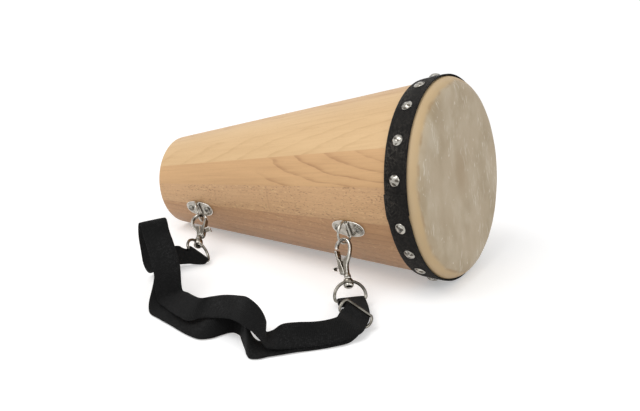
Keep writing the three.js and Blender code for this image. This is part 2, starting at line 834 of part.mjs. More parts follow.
// from the slider to the foot of the standing fold
const outwardRun = [
  edges([-19, -160, 8], [-41, -166, 19]),
  edges([-17, -174, 6], [-38, -179, 20]),
  edges([-23, -188, 5], [-43, -191, 20]),
  edges([-32, -201, 4.5], [-50, -202, 21]),
  edges([-44, -213, 4.5], [-61, -208, 20]),
  edges([-56, -225, 5], [-72, -214, 18]),
  edges([-65, -235, 6], [-80, -217, 12]),
  edges([-71, -241, 8], [-85, -220, 11]),
  edges([-76, -242, 14], [-85, -220, 21]),
  edges([-85, -241, 19], [-91, -221, 33]),
  edges([-99, -238, 22], [-103, -219, 38]),
  edges([-114, -233, 22], [-118, -211, 34]),
  edges([-131, -230, 19], [-136, -208, 30]),
  edges([-147, -229, 14], [-152, -206, 24]),
  edges([-157, -234, 10], [-158, -213, 23]),
  edges([-173, -229, 8], [-171, -208, 20]),
  edges([-194, -220, 7], [-184, -199, 17]),
  edges([-208, -214, 9], [-193, -196, 16]),
];
// up the standing fold and down again, then along the floor to the rear eye
const standingFold = [
  edges([-212, -212, 17], [-195, -195, 21]),
  edges([-217, -206, 30], [-200, -190, 34]),
  edges([-229, -197, 44], [-213, -180, 50]),
  edges([-242, -188, 58], [-226, -172, 61]),
  edges([-248, -184, 67], [-232, -168, 70]),
  edges([-253, -181, 66], [-237, -165, 69]),
  edges([-256, -179, 54], [-240, -163, 58]),
  edges([-260, -173, 33], [-243, -157, 39]),
  edges([-263, -167, 18], [-246, -152, 25]),
  edges([-265, -158, 7], [-250, -144, 17]),
  edges([-267, -144, 3.5], [-255, -135, 22]),
  edges([-265, -129, 3.2], [-256, -134, 25]),
  edges([-257, -119, 3.2], [-251, -127, 25]),
];
// the way back from the foot of the fold, under the outward run
const returnRun = [
  edges([-215, -219, 6], [-197, -202, 10]),
  edges([-209, -226, 1.2], [-191, -208, 7]),
  edges([-194, -231, 1.2], [-179, -212, 8]),
  edges([-174, -237, 1.2], [-164, -215, 7]),
  edges([-150, -244, 1.2], [-151, -221, 8]),
  edges([-138, -245, 1.2], [-142, -224, 12]),
  edges([-130, -238, 1.2], [-136, -222, 18]),
  edges([-126, -228, 1.2], [-129, -217, 22]),
  edges([-121, -219, 1.2], [-122, -209, 22]),
  edges([-113, -220, 1.2], [-114, -210, 22]),
  edges([-105, -228, 1.2], [-107, -217, 22]),
  edges([-93, -240, 1.2], [-99, -229, 19]),
  edges([-86, -248, 1.2], [-94, -232, 15]),
  edges([-80, -252, 1.2], [-90, -232, 9]),
  edges([-74, -249, 1.2], [-86, -229, 5]),
  edges([-68, -242, 1.2], [-82, -222, 7]),
];

const across = (station) => station.high.clone().sub(station.low).normalize();
const middle = (station) => station.high.clone().add(station.low).multiplyScalar(0.5);
const stationAt = (centre, direction) => ({
  low: centre.clone().addScaledVector(direction, -webWidth / 2),
  high: centre.clone().addScaledVector(direction, webWidth / 2),
});
// The side of the webbing that the returning layer lies on
function underside(run, i) {
  const before = middle(run[Math.max(i - 1, 0)]);
  const after = middle(run[Math.min(i + 1, run.length - 1)]);
  return vec().crossVectors(after.sub(before).normalize(), across(run[i])).normalize();
}
// The other layer of a run, a layer's pitch beneath it and let down towards the floor
function secondLayer(run, first, last, letDown) {
  const layer = [];
  for (let i = first; i <= last; i++) {
    const direction = across(run[i]);
    const centre = middle(run[i])
      .addScaledVector(underside(run, i), webThickness + layerGap)
      .addScaledVector(direction, -letDown);
    layer.push(stationAt(centre, direction));
  }
  return layer;
}

// Stations round a bar: from one side of it, over the far side and back on the other side
function turnRound({ centre, bar, from, over, radius, lead, flap }) {
  const steps = 8;
  const at = (out, along) =>
    stationAt(centre.clone().addScaledVector(over, out).addScaledVector(from, along), bar);
  const turn = [at(radius, lead)];
  for (let i = 0; i <= steps; i++) {
    const angle = (i / steps) * Math.PI;
    turn.push(at(radius * Math.cos(angle), -radius * Math.sin(angle)));
  }
  turn.push(at(-radius, flap));
  return turn;
}

const wrapRadius = (barRadius) => barRadius + fit + webThickness / 2;
const squareTo = (direction, axis) =>
  direction.clone().addScaledVector(axis, -direction.dot(axis)).normalize();

// Slider: a wire loop that lies over the webbing with one long bar and under it with the other
const sliderAcross = across(sliderStation);
const sliderAlong = squareTo(middle(outwardRun[1]).sub(middle(sliderStation)), sliderAcross);
const sliderUp = vec().crossVectors(sliderAcross, sliderAlong).normalize();
const sliderWireRadius = sliderWire / 2;
const sliderSlack = 0.3; // between the wire and the flat of the webbing
const overBar = wrapRadius(sliderWireRadius) + sliderSlack;
const underBar = overBar + webThickness + fit;
const barPitch = sliderWidth - sliderWire;
const barRun = Math.sqrt(barPitch ** 2 - (overBar + underBar) ** 2);
const upperBar = middle(sliderStation).addScaledVector(sliderUp, overBar);
const lowerBar = middle(sliderStation)
  .addScaledVector(sliderUp, -underBar)
  .addScaledVector(sliderAlong, barRun);

function sliderPath() {
  const down = lowerBar.clone().sub(upperBar).normalize();
  const corner = 3;
  const half = (sliderLength - sliderWire) / 2 - corner;
  const ends = [1, -1].flatMap((side) => {
    const run = [];
    for (let i = 0; i <= 6; i++) {
      const turn = (i / 6) * Math.PI;
      const out = half + corner * Math.sin(turn);
      const drop = barPitch / 2 - side * (barPitch / 2) * Math.cos(turn);
      run.push(upperBar.clone().addScaledVector(sliderAcross, side * out).addScaledVector(down, drop));
    }
    return run;
  });
  return ends;
}
place("strap_slider", wire(sliderPath(), sliderWireRadius, { closed: true }), nickel, part);

// The whole length in order, with the webbing's edges kept the same way up
const frontBar = eyes.front.bar.clone().multiplyScalar(Math.sign(eyes.front.bar.dot(sliderAcross)));
const frontPull = squareTo(middle(sliderStation).sub(eyes.front.centre), frontBar);
const frontOver = vec().crossVectors(frontBar, frontPull).normalize();
const rearBar = eyes.rear.bar.clone().multiplyScalar(Math.sign(eyes.rear.bar.z));
const rearPull = squareTo(middle(standingFold[standingFold.length - 1]).sub(eyes.rear.centre), rearBar);
const rearOver = vec().crossVectors(rearBar, rearPull).normalize();
const eyeWrap = wrapRadius(eyeWireRadius);

const frontTurn = turnRound({
  centre: eyes.front.centre,
  bar: frontBar,
  from: frontPull,
  over: frontOver.clone().negate(),
  radius: eyeWrap,
  lead: sewnEnd,
  flap: 6,
});
const rearTurn = turnRound({
  centre: eyes.rear.centre,
  bar: rearBar,
  from: rearPull,
  over: rearOver,
  radius: eyeWrap,
  lead: 3,
  flap: 3,
});
const sliderTurn = turnRound({
  centre: lowerBar,
  bar: sliderAcross,
  from: sliderAlong,
  over: sliderUp.clone().negate(),
  radius: overBar,
  lead: 7,
  flap: sewnEnd,
});
const outward = [sliderStation, ...outwardRun];
const fold = [outwardRun[outwardRun.length - 1], ...standingFold];
const foldBack = secondLayer(fold, 2, fold.length - 1, 0).reverse();
const besideRun = secondLayer(outward, 3, 6, 3).reverse();
const strapStations = [
  ...frontTurn,
  ...outward,
  ...standingFold,
  ...rearTurn,
  ...foldBack,
  ...returnRun,
  ...besideRun,
  ...sliderTurn,
];

// The webbing: its two edges as smooth curves through the stations, at its own width
function ribbon(stations, stepsBetween = 2) {
  const lows = new THREE.CatmullRomCurve3(stations.map((s) => s.low), false, "centripetal");
  const highs = new THREE.CatmullRomCurve3(stations.map((s) => s.high), false, "centripetal");
  const count = (stations.length - 1) * stepsBetween;
  const line = [];
  for (let i = 0; i <= count; i++) {
    line.push({ low: lows.getPoint(i / count), high: highs.getPoint(i / count) });
  }
  return loft(
    line.map((station, i) => {
      const direction = across(station).multiplyScalar(webWidth / 2);
      const normal = underside(line, i).multiplyScalar(webThickness / 2);
      const centre = middle(station);
      const corner = (a, b) => centre.clone().addScaledVector(direction, a).addScaledVector(normal, b);
      return [corner(-1, -1), corner(1, -1), corner(1, 1), corner(-1, 1)];
    }),
  );
}
place("strap", ribbon(strapStations), blackWeb, part);

// The origin moves to the floor under the middle of the whole
const whole = new THREE.Box3().setFromObject(part, true);
const wholeCentre = whole.getCenter(vec());
part.position.set(-wholeCentre.x, -wholeCentre.y, -whole.min.z);

export default part;
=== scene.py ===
import math
import bmesh
import bpy
import numpy as np
from mathutils import Matrix


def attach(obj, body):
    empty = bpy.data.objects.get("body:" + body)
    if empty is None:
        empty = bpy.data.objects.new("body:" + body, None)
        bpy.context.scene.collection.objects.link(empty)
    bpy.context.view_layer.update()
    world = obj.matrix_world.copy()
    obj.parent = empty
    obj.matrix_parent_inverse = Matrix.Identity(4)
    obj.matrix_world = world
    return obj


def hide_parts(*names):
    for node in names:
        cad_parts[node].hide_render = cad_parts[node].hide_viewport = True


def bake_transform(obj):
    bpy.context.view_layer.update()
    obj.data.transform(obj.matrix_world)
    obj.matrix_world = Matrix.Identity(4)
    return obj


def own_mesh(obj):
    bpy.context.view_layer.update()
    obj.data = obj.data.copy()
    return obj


# Small tapered hand drum of glued staves on its side, with its webbing strap.
# Shapes are worked out in millimetres and put into the meshes in metres.

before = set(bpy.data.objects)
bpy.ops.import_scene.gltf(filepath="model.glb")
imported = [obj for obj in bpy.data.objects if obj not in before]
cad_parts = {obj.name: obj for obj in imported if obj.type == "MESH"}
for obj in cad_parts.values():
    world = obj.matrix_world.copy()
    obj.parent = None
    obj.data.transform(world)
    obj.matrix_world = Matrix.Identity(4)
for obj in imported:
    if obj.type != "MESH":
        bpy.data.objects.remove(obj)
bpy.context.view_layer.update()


def vec(*values):
    return np.array(values, float)


def columns(*values):
    # numbers and arrays side by side, as the coordinates of points
    return np.stack(np.broadcast_arrays(*values), -1)


def unit(values):
    # each vector divided by its own length
    values = np.asarray(values, float)
    return values / np.linalg.norm(values, axis=-1, keepdims=True)


def smooth(values, low, high):
    # 3t^2 - 2t^3 between low and high
    t = np.clip((np.asarray(values, float) - low) / (high - low), 0, 1)
    return t * t * (3 - 2 * t)


def arc(x, y, wide, high, first, last, count):
    # points (x + wide cos a, y + high sin a) as a runs from first to last
    a = np.linspace(first, last, count)
    return columns(x + wide * np.cos(a), y + high * np.sin(a))


def runAlong(line):
    # length along a line at each of its points
    return np.concatenate([[0], np.cumsum(np.linalg.norm(np.diff(line, axis=0), axis=1))])


def pointsAt(places, run, line):
    # points of a line at these lengths along it
    return columns(*(np.interp(places, run, line[:, k]) for k in range(3)))


def inFrame(points, origin, axes):
    # origin + x X + y Y + z Z, from a local frame to the frame of the whole, all in mm
    return np.asarray(origin, float) + np.asarray(points, float) @ np.asarray(axes, float)


def lieMatrix(right, up, back, place):
    # the matrix whose columns are these directions and this place
    return Matrix(np.vstack([np.stack([right, up, back, place], 1), [0, 0, 0, 1]]).tolist())


def show(name, data):
    made = bpy.data.objects.new(name, data)
    bpy.context.scene.collection.objects.link(made)
    return made


def mergeDoubles(mesh, distance):
    work = bmesh.new()
    work.from_mesh(mesh)
    bmesh.ops.remove_doubles(work, verts=work.verts, dist=distance)
    work.to_mesh(mesh)
    work.free()


def finishMesh(name, points, faces, uv=None, marks=None, merge=False, sharp=None):
    # Puts points (mm) and rows of four corners into a mesh. Its volume is the sum of the corners'
    # triple products; where that is negative every row of corners is turned round.
    points = np.asarray(points, float) / 1000
    a, b, c, d = (points[faces[:, k]] for k in range(4))
    volume = np.einsum("ij,ij->", a, np.cross(b, c)) + np.einsum("ij,ij->", a, np.cross(c, d))
    order = slice(None, None, -1 if volume < 0 else 1)
    mesh = bpy.data.meshes.new(name)
    mesh.from_pydata(points.tolist(), [], faces[:, order].tolist())
    if uv is not None:
        layer = mesh.uv_layers.new(name="flat")
        corners = uv[1][:, order].ravel()
        layer.data.foreach_set("uv", (uv[0] / 1000)[corners].astype(np.float32).ravel())
    for label, values in (marks or {}).items():
        kind, field = ("FLOAT", "value") if np.ndim(values) == 1 else ("FLOAT_VECTOR", "vector")
        store = mesh.attributes.new(label, kind, "POINT")
        store.data.foreach_set(field, np.asarray(values, np.float32).ravel())
    mesh.update()
    if merge:
        mergeDoubles(mesh, 1e-7)
    mesh.shade_smooth()
    if sharp:
        mesh.set_sharp_from_angle(angle=math.radians(sharp))
    return show(name, mesh)


def loftMesh(name, rings, closedRun=False, caps=False, uv=None, **finish):
    # Quads between neighbouring rings (rows x columns x 3), whose columns always join up.
    # uv is rows x columns + 1 x 2.
    rows, cols = rings.shape[:2]
    runs = rows if closedRun else rows - 1
    r, c = (g.ravel() for g in np.meshgrid(np.arange(runs), np.arange(cols), indexing="ij"))
    here, after, nextCol = r * cols, (r + 1) % rows * cols, (c + 1) % cols
    faces = columns(here + c, here + nextCol, after + nextCol, after + c)
    wide = cols + 1
    uvFaces = columns(r * wide + c, r * wide + c + 1, (r + 1) * wide + c + 1, (r + 1) * wide + c)
    if caps:
        k = np.arange(cols // 2 - 1)
        start = columns(k, cols - 1 - k, cols - 2 - k, k + 1)
        faces = np.vstack([faces, start, (rows - 1) * cols + start[:, ::-1]])
        uvFaces = np.vstack([uvFaces, start, (rows - 1) * wide + start[:, ::-1]])
    flat = None if uv is None else (uv.reshape(-1, 2), uvFaces)
    return finishMesh(name, rings.reshape(-1, 3), faces, flat, **finish)


def revolvedRings(profile, segments):
    # every (r, z) of the profile swept as (r cos a, r sin a, z)
    profile = np.asarray(profile, float)
    a = np.arange(segments) / segments * 2 * math.pi
    r, z = profile[:, :1], profile[:, 1:]
    return columns(r * np.cos(a), r * np.sin(a), z)


def circlesAlong(path, along, side, radius, sides):
    # a circle about each point of the path: side cos a + (along x side) sin a
    a = np.arange(sides)[:, None] / sides * 2 * math.pi
    return path[:, None] + radius * (side[:, None] * np.cos(a) + np.cross(along, side)[:, None] * np.sin(a))


def wireLoop(name, outline, radius, origin, axes, sides=20, step=0.7):
    # A round wire along a closed outline in the X Y plane of the axes, its points evened out
    line = columns(*np.vstack([outline, outline[:1]]).T, 0)
    run = runAlong(line)
    path = pointsAt(np.linspace(0, run[-1], int(round(run[-1] / step)) + 1)[:-1], run, line)
    along = unit(np.roll(path, -1, 0) - np.roll(path, 1, 0))
    rings = circlesAlong(path, along, unit(np.cross((0, 0, 1), along)), radius, sides)
    return loftMesh(name, inFrame(rings, origin, axes), closedRun=True)


def readOut(data, label, kind=np.float32, width=3):
    # the values that a mesh holds, a row for each of its items
    rows = np.empty(len(data) * width, kind)
    data.foreach_get(label, rows)
    return rows.reshape(-1, width)


def markHollows(mesh, passes=30):
    # hollow = (the points averaged with their neighbours many times - the points) . normal, in mm:
    # above zero in grooves and corners, below it on edges and wires
    points = readOut(mesh.vertices, "co").astype(float)
    ends = readOut(mesh.edges, "vertices", np.int32, 2)
    ends = np.vstack([ends, ends[:, ::-1]])
    share = np.maximum(np.bincount(ends[:, 0], minlength=len(points)), 1)[:, None]
    even = points
    for _ in range(passes):
        near = even[ends[:, 1]]
        even = columns(*(np.bincount(ends[:, 0], near[:, k], len(points)) for k in range(3))) / share
    hollow = ((even - points) * readOut(mesh.vertex_normals, "vector")).sum(1) * 1000
    mesh.attributes.new("hollow", "FLOAT", "POINT").data.foreach_set("value", hollow.astype(np.float32))


def mergedCopy(node, name, voxel, passes, reshape=None):
    # A closed copy of a CAD piece, remeshed to even facets and smoothed so that its edges read
    # as cast or pressed; reshape moves the points afterwards.
    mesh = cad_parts[node].data.copy()
    mergeDoubles(mesh, 1e-6)
    piece = show(name, mesh)
    remesh = piece.modifiers.new("remesh", "REMESH")
    remesh.mode = "VOXEL"
    remesh.voxel_size = voxel / 1000
    soften = piece.modifiers.new("soften", "SMOOTH")
    soften.factor = 0.5
    soften.iterations = passes
    bpy.context.view_layer.update()
    made = bpy.data.meshes.new_from_object(piece.evaluated_get(bpy.context.evaluated_depsgraph_get()))
    piece.modifiers.clear()
    piece.data = made
    made.name = name
    made.materials.clear()
    if reshape is not None:
        moved = reshape(readOut(made.vertices, "co").astype(float) * 1000) / 1000
        made.vertices.foreach_set("co", moved.astype(np.float32).ravel())
        made.update()
    made.shade_smooth()
    markHollows(made)
    return piece


class nodeValue:
    # An output of a node. + - * / and calc, with a number or another one, add a Math node.
    def __init__(self, tree, socket):
        self.tree = tree
        self.socket = socket

    def calc(self, operation, *others):
        values = dict(enumerate((self, *others)))
        return valueOf(self.tree, "ShaderNodeMath", 0, values, operation=operation)

    def __add__(self, other):
        return self.calc("ADD", other)

    def __sub__(self, other):
        return self.calc("SUBTRACT", other)

    def __mul__(self, other):
        return self.calc("MULTIPLY", other)

    def __truediv__(self, other):
        return self.calc("DIVIDE", other)


def put(tree, kind, values=None, **settings):
    # a node with its settings, and its inputs set to plain values or joined to other nodes
    made = tree.nodes.new(kind)
    for key, value in settings.items():
        setattr(made, key, value)
    for key, value in (values or {}).items():
        if isinstance(value, nodeValue):
            tree.links.new(value.socket, made.inputs[key])
        else:
            made.inputs[key].default_value = value
    return made


def valueOf(tree, kind, output, values=None, **settings):
    return nodeValue(tree, put(tree, kind, values, **settings).outputs[output])


def emptyTree(owner):
    owner.use_nodes = True
    owner.node_tree.nodes.clear()
    return owner.node_tree


def ramp(value, low, high, first=0.0, last=1.0):
    # smooth step of the value between low and high, from first to last
    limits = {"Value": value, "From Min": low, "From Max": high, "To Min": first, "To Max": last}
    return valueOf(value.tree, "ShaderNodeMapRange", "Result", limits, interpolation_type="SMOOTHSTEP")


def mixColor(share, first, second):
    return valueOf(share.tree, "ShaderNodeMix", 2, {0: share, 6: first, 7: second}, data_type="RGBA")


def shifted(place, scale, shift=(0, 0, 0)):
    # place * scale + shift on each axis
    values = {0: place, 1: scale, 2: shift}
    return valueOf(place.tree, "ShaderNodeVectorMath", 0, values, operation="MULTIPLY_ADD")


def lengthOf(place):
    return valueOf(place.tree, "ShaderNodeVectorMath", "Value", {0: place}, operation="LENGTH")


def axisOf(place, axis):
    return valueOf(place.tree, "ShaderNodeSeparateXYZ", axis, {0: place})


def noise(place, scale, detail, shift=(0, 0, 0)):
    # soft noise, its scale in repeats a metre on each axis, seeded by the shift
    values = {"Vector": shifted(place, scale, shift), "Scale": 1.0, "Detail": detail}
    return valueOf(place.tree, "ShaderNodeTexNoise", "Fac", values)


def patches(place, scale, detail, limits, shift=(0, 0, 0)):
    # that noise with a smooth step over it, so that it comes in patches
    return ramp(noise(place, scale, detail, shift), *limits)


def newGroup(name, colors, numbers="", vectors=""):
    # A shader group that takes Place and these inputs, and gives what newMaterial asks for
    group = bpy.data.node_groups.new(name, "ShaderNodeTree")
    sockets = [
        ("INPUT", "Vector", "Place " + vectors), ("INPUT", "Float", numbers), ("INPUT", "Color", colors),
        ("OUTPUT", "Color", "Color"), ("OUTPUT", "Float", "Roughness Height"),
    ]
    for way, kind, labels in sockets:
        for label in labels.split():
            group.interface.new_socket(name=label, in_out=way, socket_type="NodeSocket" + kind)
    given = group.nodes.new("NodeGroupInput").outputs
    return group, {socket.name: nodeValue(group, socket) for socket in given if socket.name}


def finishGroup(group, color, roughness, height):
    put(group, "NodeGroupOutput", {"Color": color, "Roughness": roughness, "Height": height})
    return group


# what a pattern follows: the node that gives its place, that node's output and its settings
onWebbing = ("ShaderNodeUVMap", "UV", {"uv_map": "flat"})
onBoard = ("ShaderNodeAttribute", "Vector", {"attribute_name": "grain"})
onHide = ("ShaderNodeAttribute", "Vector", {"attribute_name": "hidePlace"})
onObject = ("ShaderNodeTexCoord", "Object", {})


def newMaterial(name, group, look, follows, bump, shader, marks=None):
    # A Principled shader with a group's Color, Roughness and Height; look is what the group is
    # given, and marks are the mesh's own numbers that it reads.
    material = bpy.data.materials.new(name)
    tree = emptyTree(material)
    kind, output, settings = follows
    look = {"Place": valueOf(tree, kind, output, **settings), **look}
    for key, label in (marks or {}).items():
        look[key] = valueOf(tree, "ShaderNodeAttribute", "Fac", attribute_name=label)
    made = put(tree, "ShaderNodeGroup", look, node_tree=group).outputs
    color, roughness, height = (nodeValue(tree, made[k]) for k in ("Color", "Roughness", "Height"))
    relief = valueOf(tree, "ShaderNodeBump", 0, {"Height": height, "Distance": bump, "Strength": 1.0})
    shader = {"Base Color": color, "Roughness": roughness, "Normal": relief, **shader}
    put(tree, "ShaderNodeOutputMaterial", {"Surface": valueOf(tree, "ShaderNodeBsdfPrincipled", 0, shader)})
    return material


def dress(piece, material, body, node):
    # its material, the body that carries it and the CAD node whose place it takes
    piece.data.materials.clear()
    piece.data.materials.append(material)
    if body:
        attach(piece, body)
    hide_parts(node)


camera = {
    "place": (0.51132, -0.78899, 0.39136),
    "right": (0.863, 0.5052, 0.0),
    "up": (-0.1644, 0.2809, 0.9456),
    "lens": 56.25,
    "sensor": 36.0,
}


def makeCamera():
    # The columns of its matrix are right, up and back, squared up on each other
    back = unit(np.cross(camera["right"], camera["up"]))
    right = unit(camera["right"])
    data = bpy.data.cameras.new("camera")
    data.lens = camera["lens"]
    data.sensor_width = camera["sensor"]
    lens = show("camera", data)
    lens.matrix_world = lieMatrix(right, np.cross(back, right), back, camera["place"])
    bpy.context.scene.camera = lens


makeCamera()
print("camera set")


# woven black webbing, for the strap and the band round the rim
webbing = {
    "width": 25.0,
    "thickness": 1.3,
    "rib": 1.8,  # pitch of the ribs along it
    "yarn": 1.25,  # pitch of the yarns across it
    "wander": 0.22,  # how far a rib runs out of line, in ribs
    "step": 0.6,  # from ring to ring of its mesh
    "squareness": 5,  # of its section: 2 is an ellipse
    "edge": 0.4,  # of its width from the middle, beyond which its edges are scalloped
    "black": (0.003, 0.003, 0.003, 1),
    "crown": (0.0115, 0.0115, 0.0115, 1),  # painted highlight on the crowns of the ribs, in patches
    "bandBlack": (0.006, 0.0052, 0.0045, 1),
    # painted highlight on the band's ribs, in patches, with its paler flecks of yarn
    "bandCrownHighlight": (0.06, 0.053, 0.045, 1),
    "bump": 0.00035,
}
weaveNoise = {  # repeats a metre on each axis, detail, and for patches their limits
    "wander": ((60, 90, 1), 2),
    "fuzz": ((2600, 2600, 1), 3),
    # patches in which the painted highlight shows on the ribs
    "highlightPatches": ((24, 44, 1), 3, (0.42, 0.68, 0.22, 0.92)),
}
weaveShare = {
    "rib": 0.7,  # of its height
    "strand": 0.3,
    "crown": (0.3, 0.95),  # heights between which the painted highlight comes in
    "own": 1.6,  # power of the brightness that each float of yarn has
    "matt": 0.88,  # its roughness, and what is lost of that where it shines
    "gloss": 0.14,
    "fuzz": 0.25,  # in its relief
}


def weaveGroup():
    # Height is |sin| of the rib phase, with the phase moved half a rib on every other yarn; each
    # float of yarn has a brightness of its own, white noise of its whole numbers
    group, given = newGroup("ribbedWeave", "Black Crown", "Rib Yarn")
    place = given["Place"]
    wander, fuzz = noise(place, *weaveNoise["wander"]), noise(place, *weaveNoise["fuzz"])
    yarns = axisOf(place, "Y") / given["Yarn"]
    odd = (yarns + 40.0).calc("FLOOR").calc("MODULO", 2.0) * 0.5
    phase = axisOf(place, "X") / given["Rib"] + wander * webbing["wander"] + odd
    rib, strand = ((k * math.pi).calc("SINE").calc("ABSOLUTE") for k in (phase, yarns))
    height = rib * weaveShare["rib"] + strand * weaveShare["strand"]
    cell = valueOf(group, "ShaderNodeCombineXYZ", 0, {0: phase.calc("FLOOR"), 1: yarns.calc("FLOOR")})
    own = valueOf(group, "ShaderNodeTexWhiteNoise", "Value", {"Vector": cell}, noise_dimensions="2D")
    # painted highlight on the crowns of the ribs, in patches and uneven from float to float
    shine = ramp(height, *weaveShare["crown"]) * patches(place, *weaveNoise["highlightPatches"])
    shine = (shine * (own.calc("POWER", weaveShare["own"]) * (fuzz + 1.0))).calc("MINIMUM", 1.0)
    color = mixColor(shine, given["Black"], given["Crown"])
    roughness = shine * -weaveShare["gloss"] + weaveShare["matt"]
    return finishGroup(group, color, roughness, height + fuzz * weaveShare["fuzz"])


weave = weaveGroup()


def webbingLook(name, sheen, black, crown):
    look = {"Rib": webbing["rib"] / 1000, "Yarn": webbing["yarn"] / 1000}
    look.update({"Black": webbing[black], "Crown": webbing[crown]})
    shader = {"Specular IOR Level": 0.16, "Sheen Weight": sheen, "Sheen Roughness": 0.5}
    return newMaterial(name, weave, look, onWebbing, webbing["bump"], shader)


webbingMaterial = webbingLook("webbing", sheen=0.02, black="black", crown="crown")
bandMaterial = webbingLook("bandWebbing", sheen=0.03, black="bandBlack", crown="bandCrownHighlight")


def webSection(width, thickness, count=18):
    # A flat outline with rounded edges: |x|^5 + |y|^5 = 1 in shares of its half width and thickness
    t = (np.arange(count) + 0.5) / count * 2 * math.pi
    x, y = np.cos(t), np.sin(t)
    power = webbing["squareness"]
    grow = (np.abs(x) ** power + np.abs(y) ** power) ** (-1 / power)
    return columns(x * grow * width / 2, y * grow * thickness / 2)


def webRings(centre, across, normal, run, width, thickness, notch):
    # The section carried along the centre line, its edges scalloped by |sin| of the rib phase
    x, y = webSection(width, thickness).T
    scallop = 1 - notch * (1 - np.abs(np.sin(math.pi * run / webbing["rib"])))
    wide = x * np.where(np.abs(x) > webbing["edge"] * width, scallop[:, None], 1)
    rings = centre[:, None] + across[:, None] * wide[..., None] + normal[:, None] * y[:, None]
    return rings, columns(run[:, None], np.append(x, x[0]))


eye = {
    "wire": 1.5,  # radius
    "bar": 55.6,  # its middle, down the hook
    "inner": 26.4,
    "height": 21.0,
    "top": 37.6,
    "corner": 3.0,
    "shoulder": 3.5,  # from the corner up to where the arch begins
}
slider = {"wire": 1.3, "length": 33.0, "width": 15.0, "corner": 3.0}  # wire is its radius

# Frames of the hooks: origin at the middle of the ring's wire, Y down the hook; and the eye's bar
hooks = {
    "front": {
        "origin": vec(84.54, -17.26, 50.44),
        "axes": np.array([
            (0.89431, 0.03435, 0.44614), (0.41187, -0.45286, -0.79075), (0.17487, 0.89092, -0.41914),
        ]),
        "bar": vec(0.79135, 0.608, 0.06399),
    },
    "rear": {
        "origin": vec(-103.53, 8.18, 33.99),
        "axes": np.array([
            (-0.85335, -0.44358, -0.27393), (0.51999, -0.76198, -0.38599), (-0.03751, -0.47182, 0.88089),
        ]),
        "bar": vec(0.40421, 0.6176, -0.67468),
    },
}

# The strap's route, station by station as in the frame's own strap. A station is a point on the
# lower edge and one on the upper edge, in mm from the floor point under the playing face; shift
# takes it to the frame's origin.
strap = {
    "shift": vec(165.712, 75.519, 0.236),
    "layerGap": 0.9,
    "fit": 0.3,
    "notch": 0.012,  # how deep its edges are scalloped, in widths
    "round": 9,  # stations of a half circle about a bar
    "places": 24,  # of its curve, from one station to the next
    "ends": {"front": (13, 6), "rear": (3, 3), "slider": (7, 13)},  # straight before and after each turn
    "besideDrop": 3.0,  # how far the sewn tail hangs below the layer that it lies on
    "slider": [(-21, -149, 9, -44, -155, 23)],
    "outward": [
        (-19, -160, 8, -41, -166, 19), (-17, -174, 6, -38, -179, 20), (-23, -188, 5, -43, -191, 20),
        (-32, -201, 4.5, -50, -202, 21), (-44, -213, 4.5, -61, -208, 20), (-56, -225, 5, -72, -214, 18),
        (-65, -235, 6, -80, -217, 12), (-71, -241, 8, -85, -220, 11), (-76, -242, 14, -85, -220, 21),
        (-85, -241, 19, -91, -221, 33), (-99, -238, 22, -103, -219, 38),
        (-114, -233, 20.5, -118, -211, 34), (-131, -231, 16, -136, -208, 30),
        (-147, -230, 11.5, -152, -206, 24), (-157, -234, 9, -158, -213, 23),
        (-173, -229, 8, -171, -208, 20), (-194, -220, 7, -184, -199, 17), (-208, -214, 9, -193, -196, 16),
    ],
    "standing": [
        (-212, -212, 17, -195, -195, 21), (-217, -206, 30, -200, -190, 34),
        (-229, -197, 44, -213, -180, 50), (-242, -188, 58, -226, -172, 61),
        (-248, -184, 67, -232, -168, 70), (-253, -181, 66, -237, -165, 69),
        (-256, -179, 54, -240, -163, 58), (-260, -173, 33, -243, -157, 39),
        (-263, -167, 18, -246, -152, 25), (-265, -158, 7, -250, -144, 17),
        (-267, -144, 3.5, -255, -135, 22), (-265, -129, 3.2, -256, -134, 25),
        (-257, -119, 3.2, -251, -127, 25),
    ],
    "returning": [
        (-215, -219, 6, -197, -202, 10), (-209, -226, 1.2, -191, -208, 7),
        (-194, -231, 1.2, -179, -212, 8), (-174, -237, 1.2, -164, -215, 7),
        (-150, -244, 1.2, -151, -221, 9), (-138, -245, 1.2, -142, -224, 13),
        (-130, -238, 1.2, -136, -222, 18), (-126, -228, 1.2, -129, -217, 22),
        (-121, -219, 1.2, -122, -209, 22), (-113, -220, 1.2, -114, -210, 22),
        (-105, -228, 1.2, -107, -217, 22), (-93, -240, 1.2, -99, -229, 19),
        (-86, -248, 1.2, -94, -232, 15), (-80, -252, 1.2, -90, -232, 9), (-74, -249, 1.2, -86, -229, 5),
        (-68, -242, 1.2, -82, -222, 7),
    ],
}


def acrossOf(line):
    return unit(line[:, 1] - line[:, 0])


def middleOf(line):
    return line.mean(1)


def stationAt(centre, direction):
    # both edges of the webbing about its centre
    half = np.broadcast_to(direction, np.shape(centre)) * webbing["width"] / 2
    return np.stack([centre - half, centre + half], 1)


def secondLayer(line, first, last, letDown=0):
    # The stations again in the other direction, a layer further along tangent x across
    across, middle = acrossOf(line), middleOf(line)
    under = unit(np.cross(unit(np.gradient(middle, axis=0)), across))
    centre = middle + under * (webbing["thickness"] + strap["layerGap"]) - across * letDown
    return stationAt(centre, across)[first:last + 1][::-1]


def turnRound(centre, bar, pull, over, radius, lead, flap):
    # a half circle of the radius about a bar, with a straight lead before it and a flap after it
    a = np.linspace(0, math.pi, strap["round"])
    out = np.concatenate([[radius], radius * np.cos(a), [-radius]])
    along = np.concatenate([[lead], -radius * np.sin(a), [flap]])
    return stationAt(centre + out[:, None] * over + along[:, None] * pull, bar)


def squareTo(direction, axis):
    return unit(direction - axis * np.dot(direction, axis))


def overWire(radius):
    # from a wire's middle to the middle of the webbing round it
    return radius + strap["fit"] + webbing["thickness"] / 2


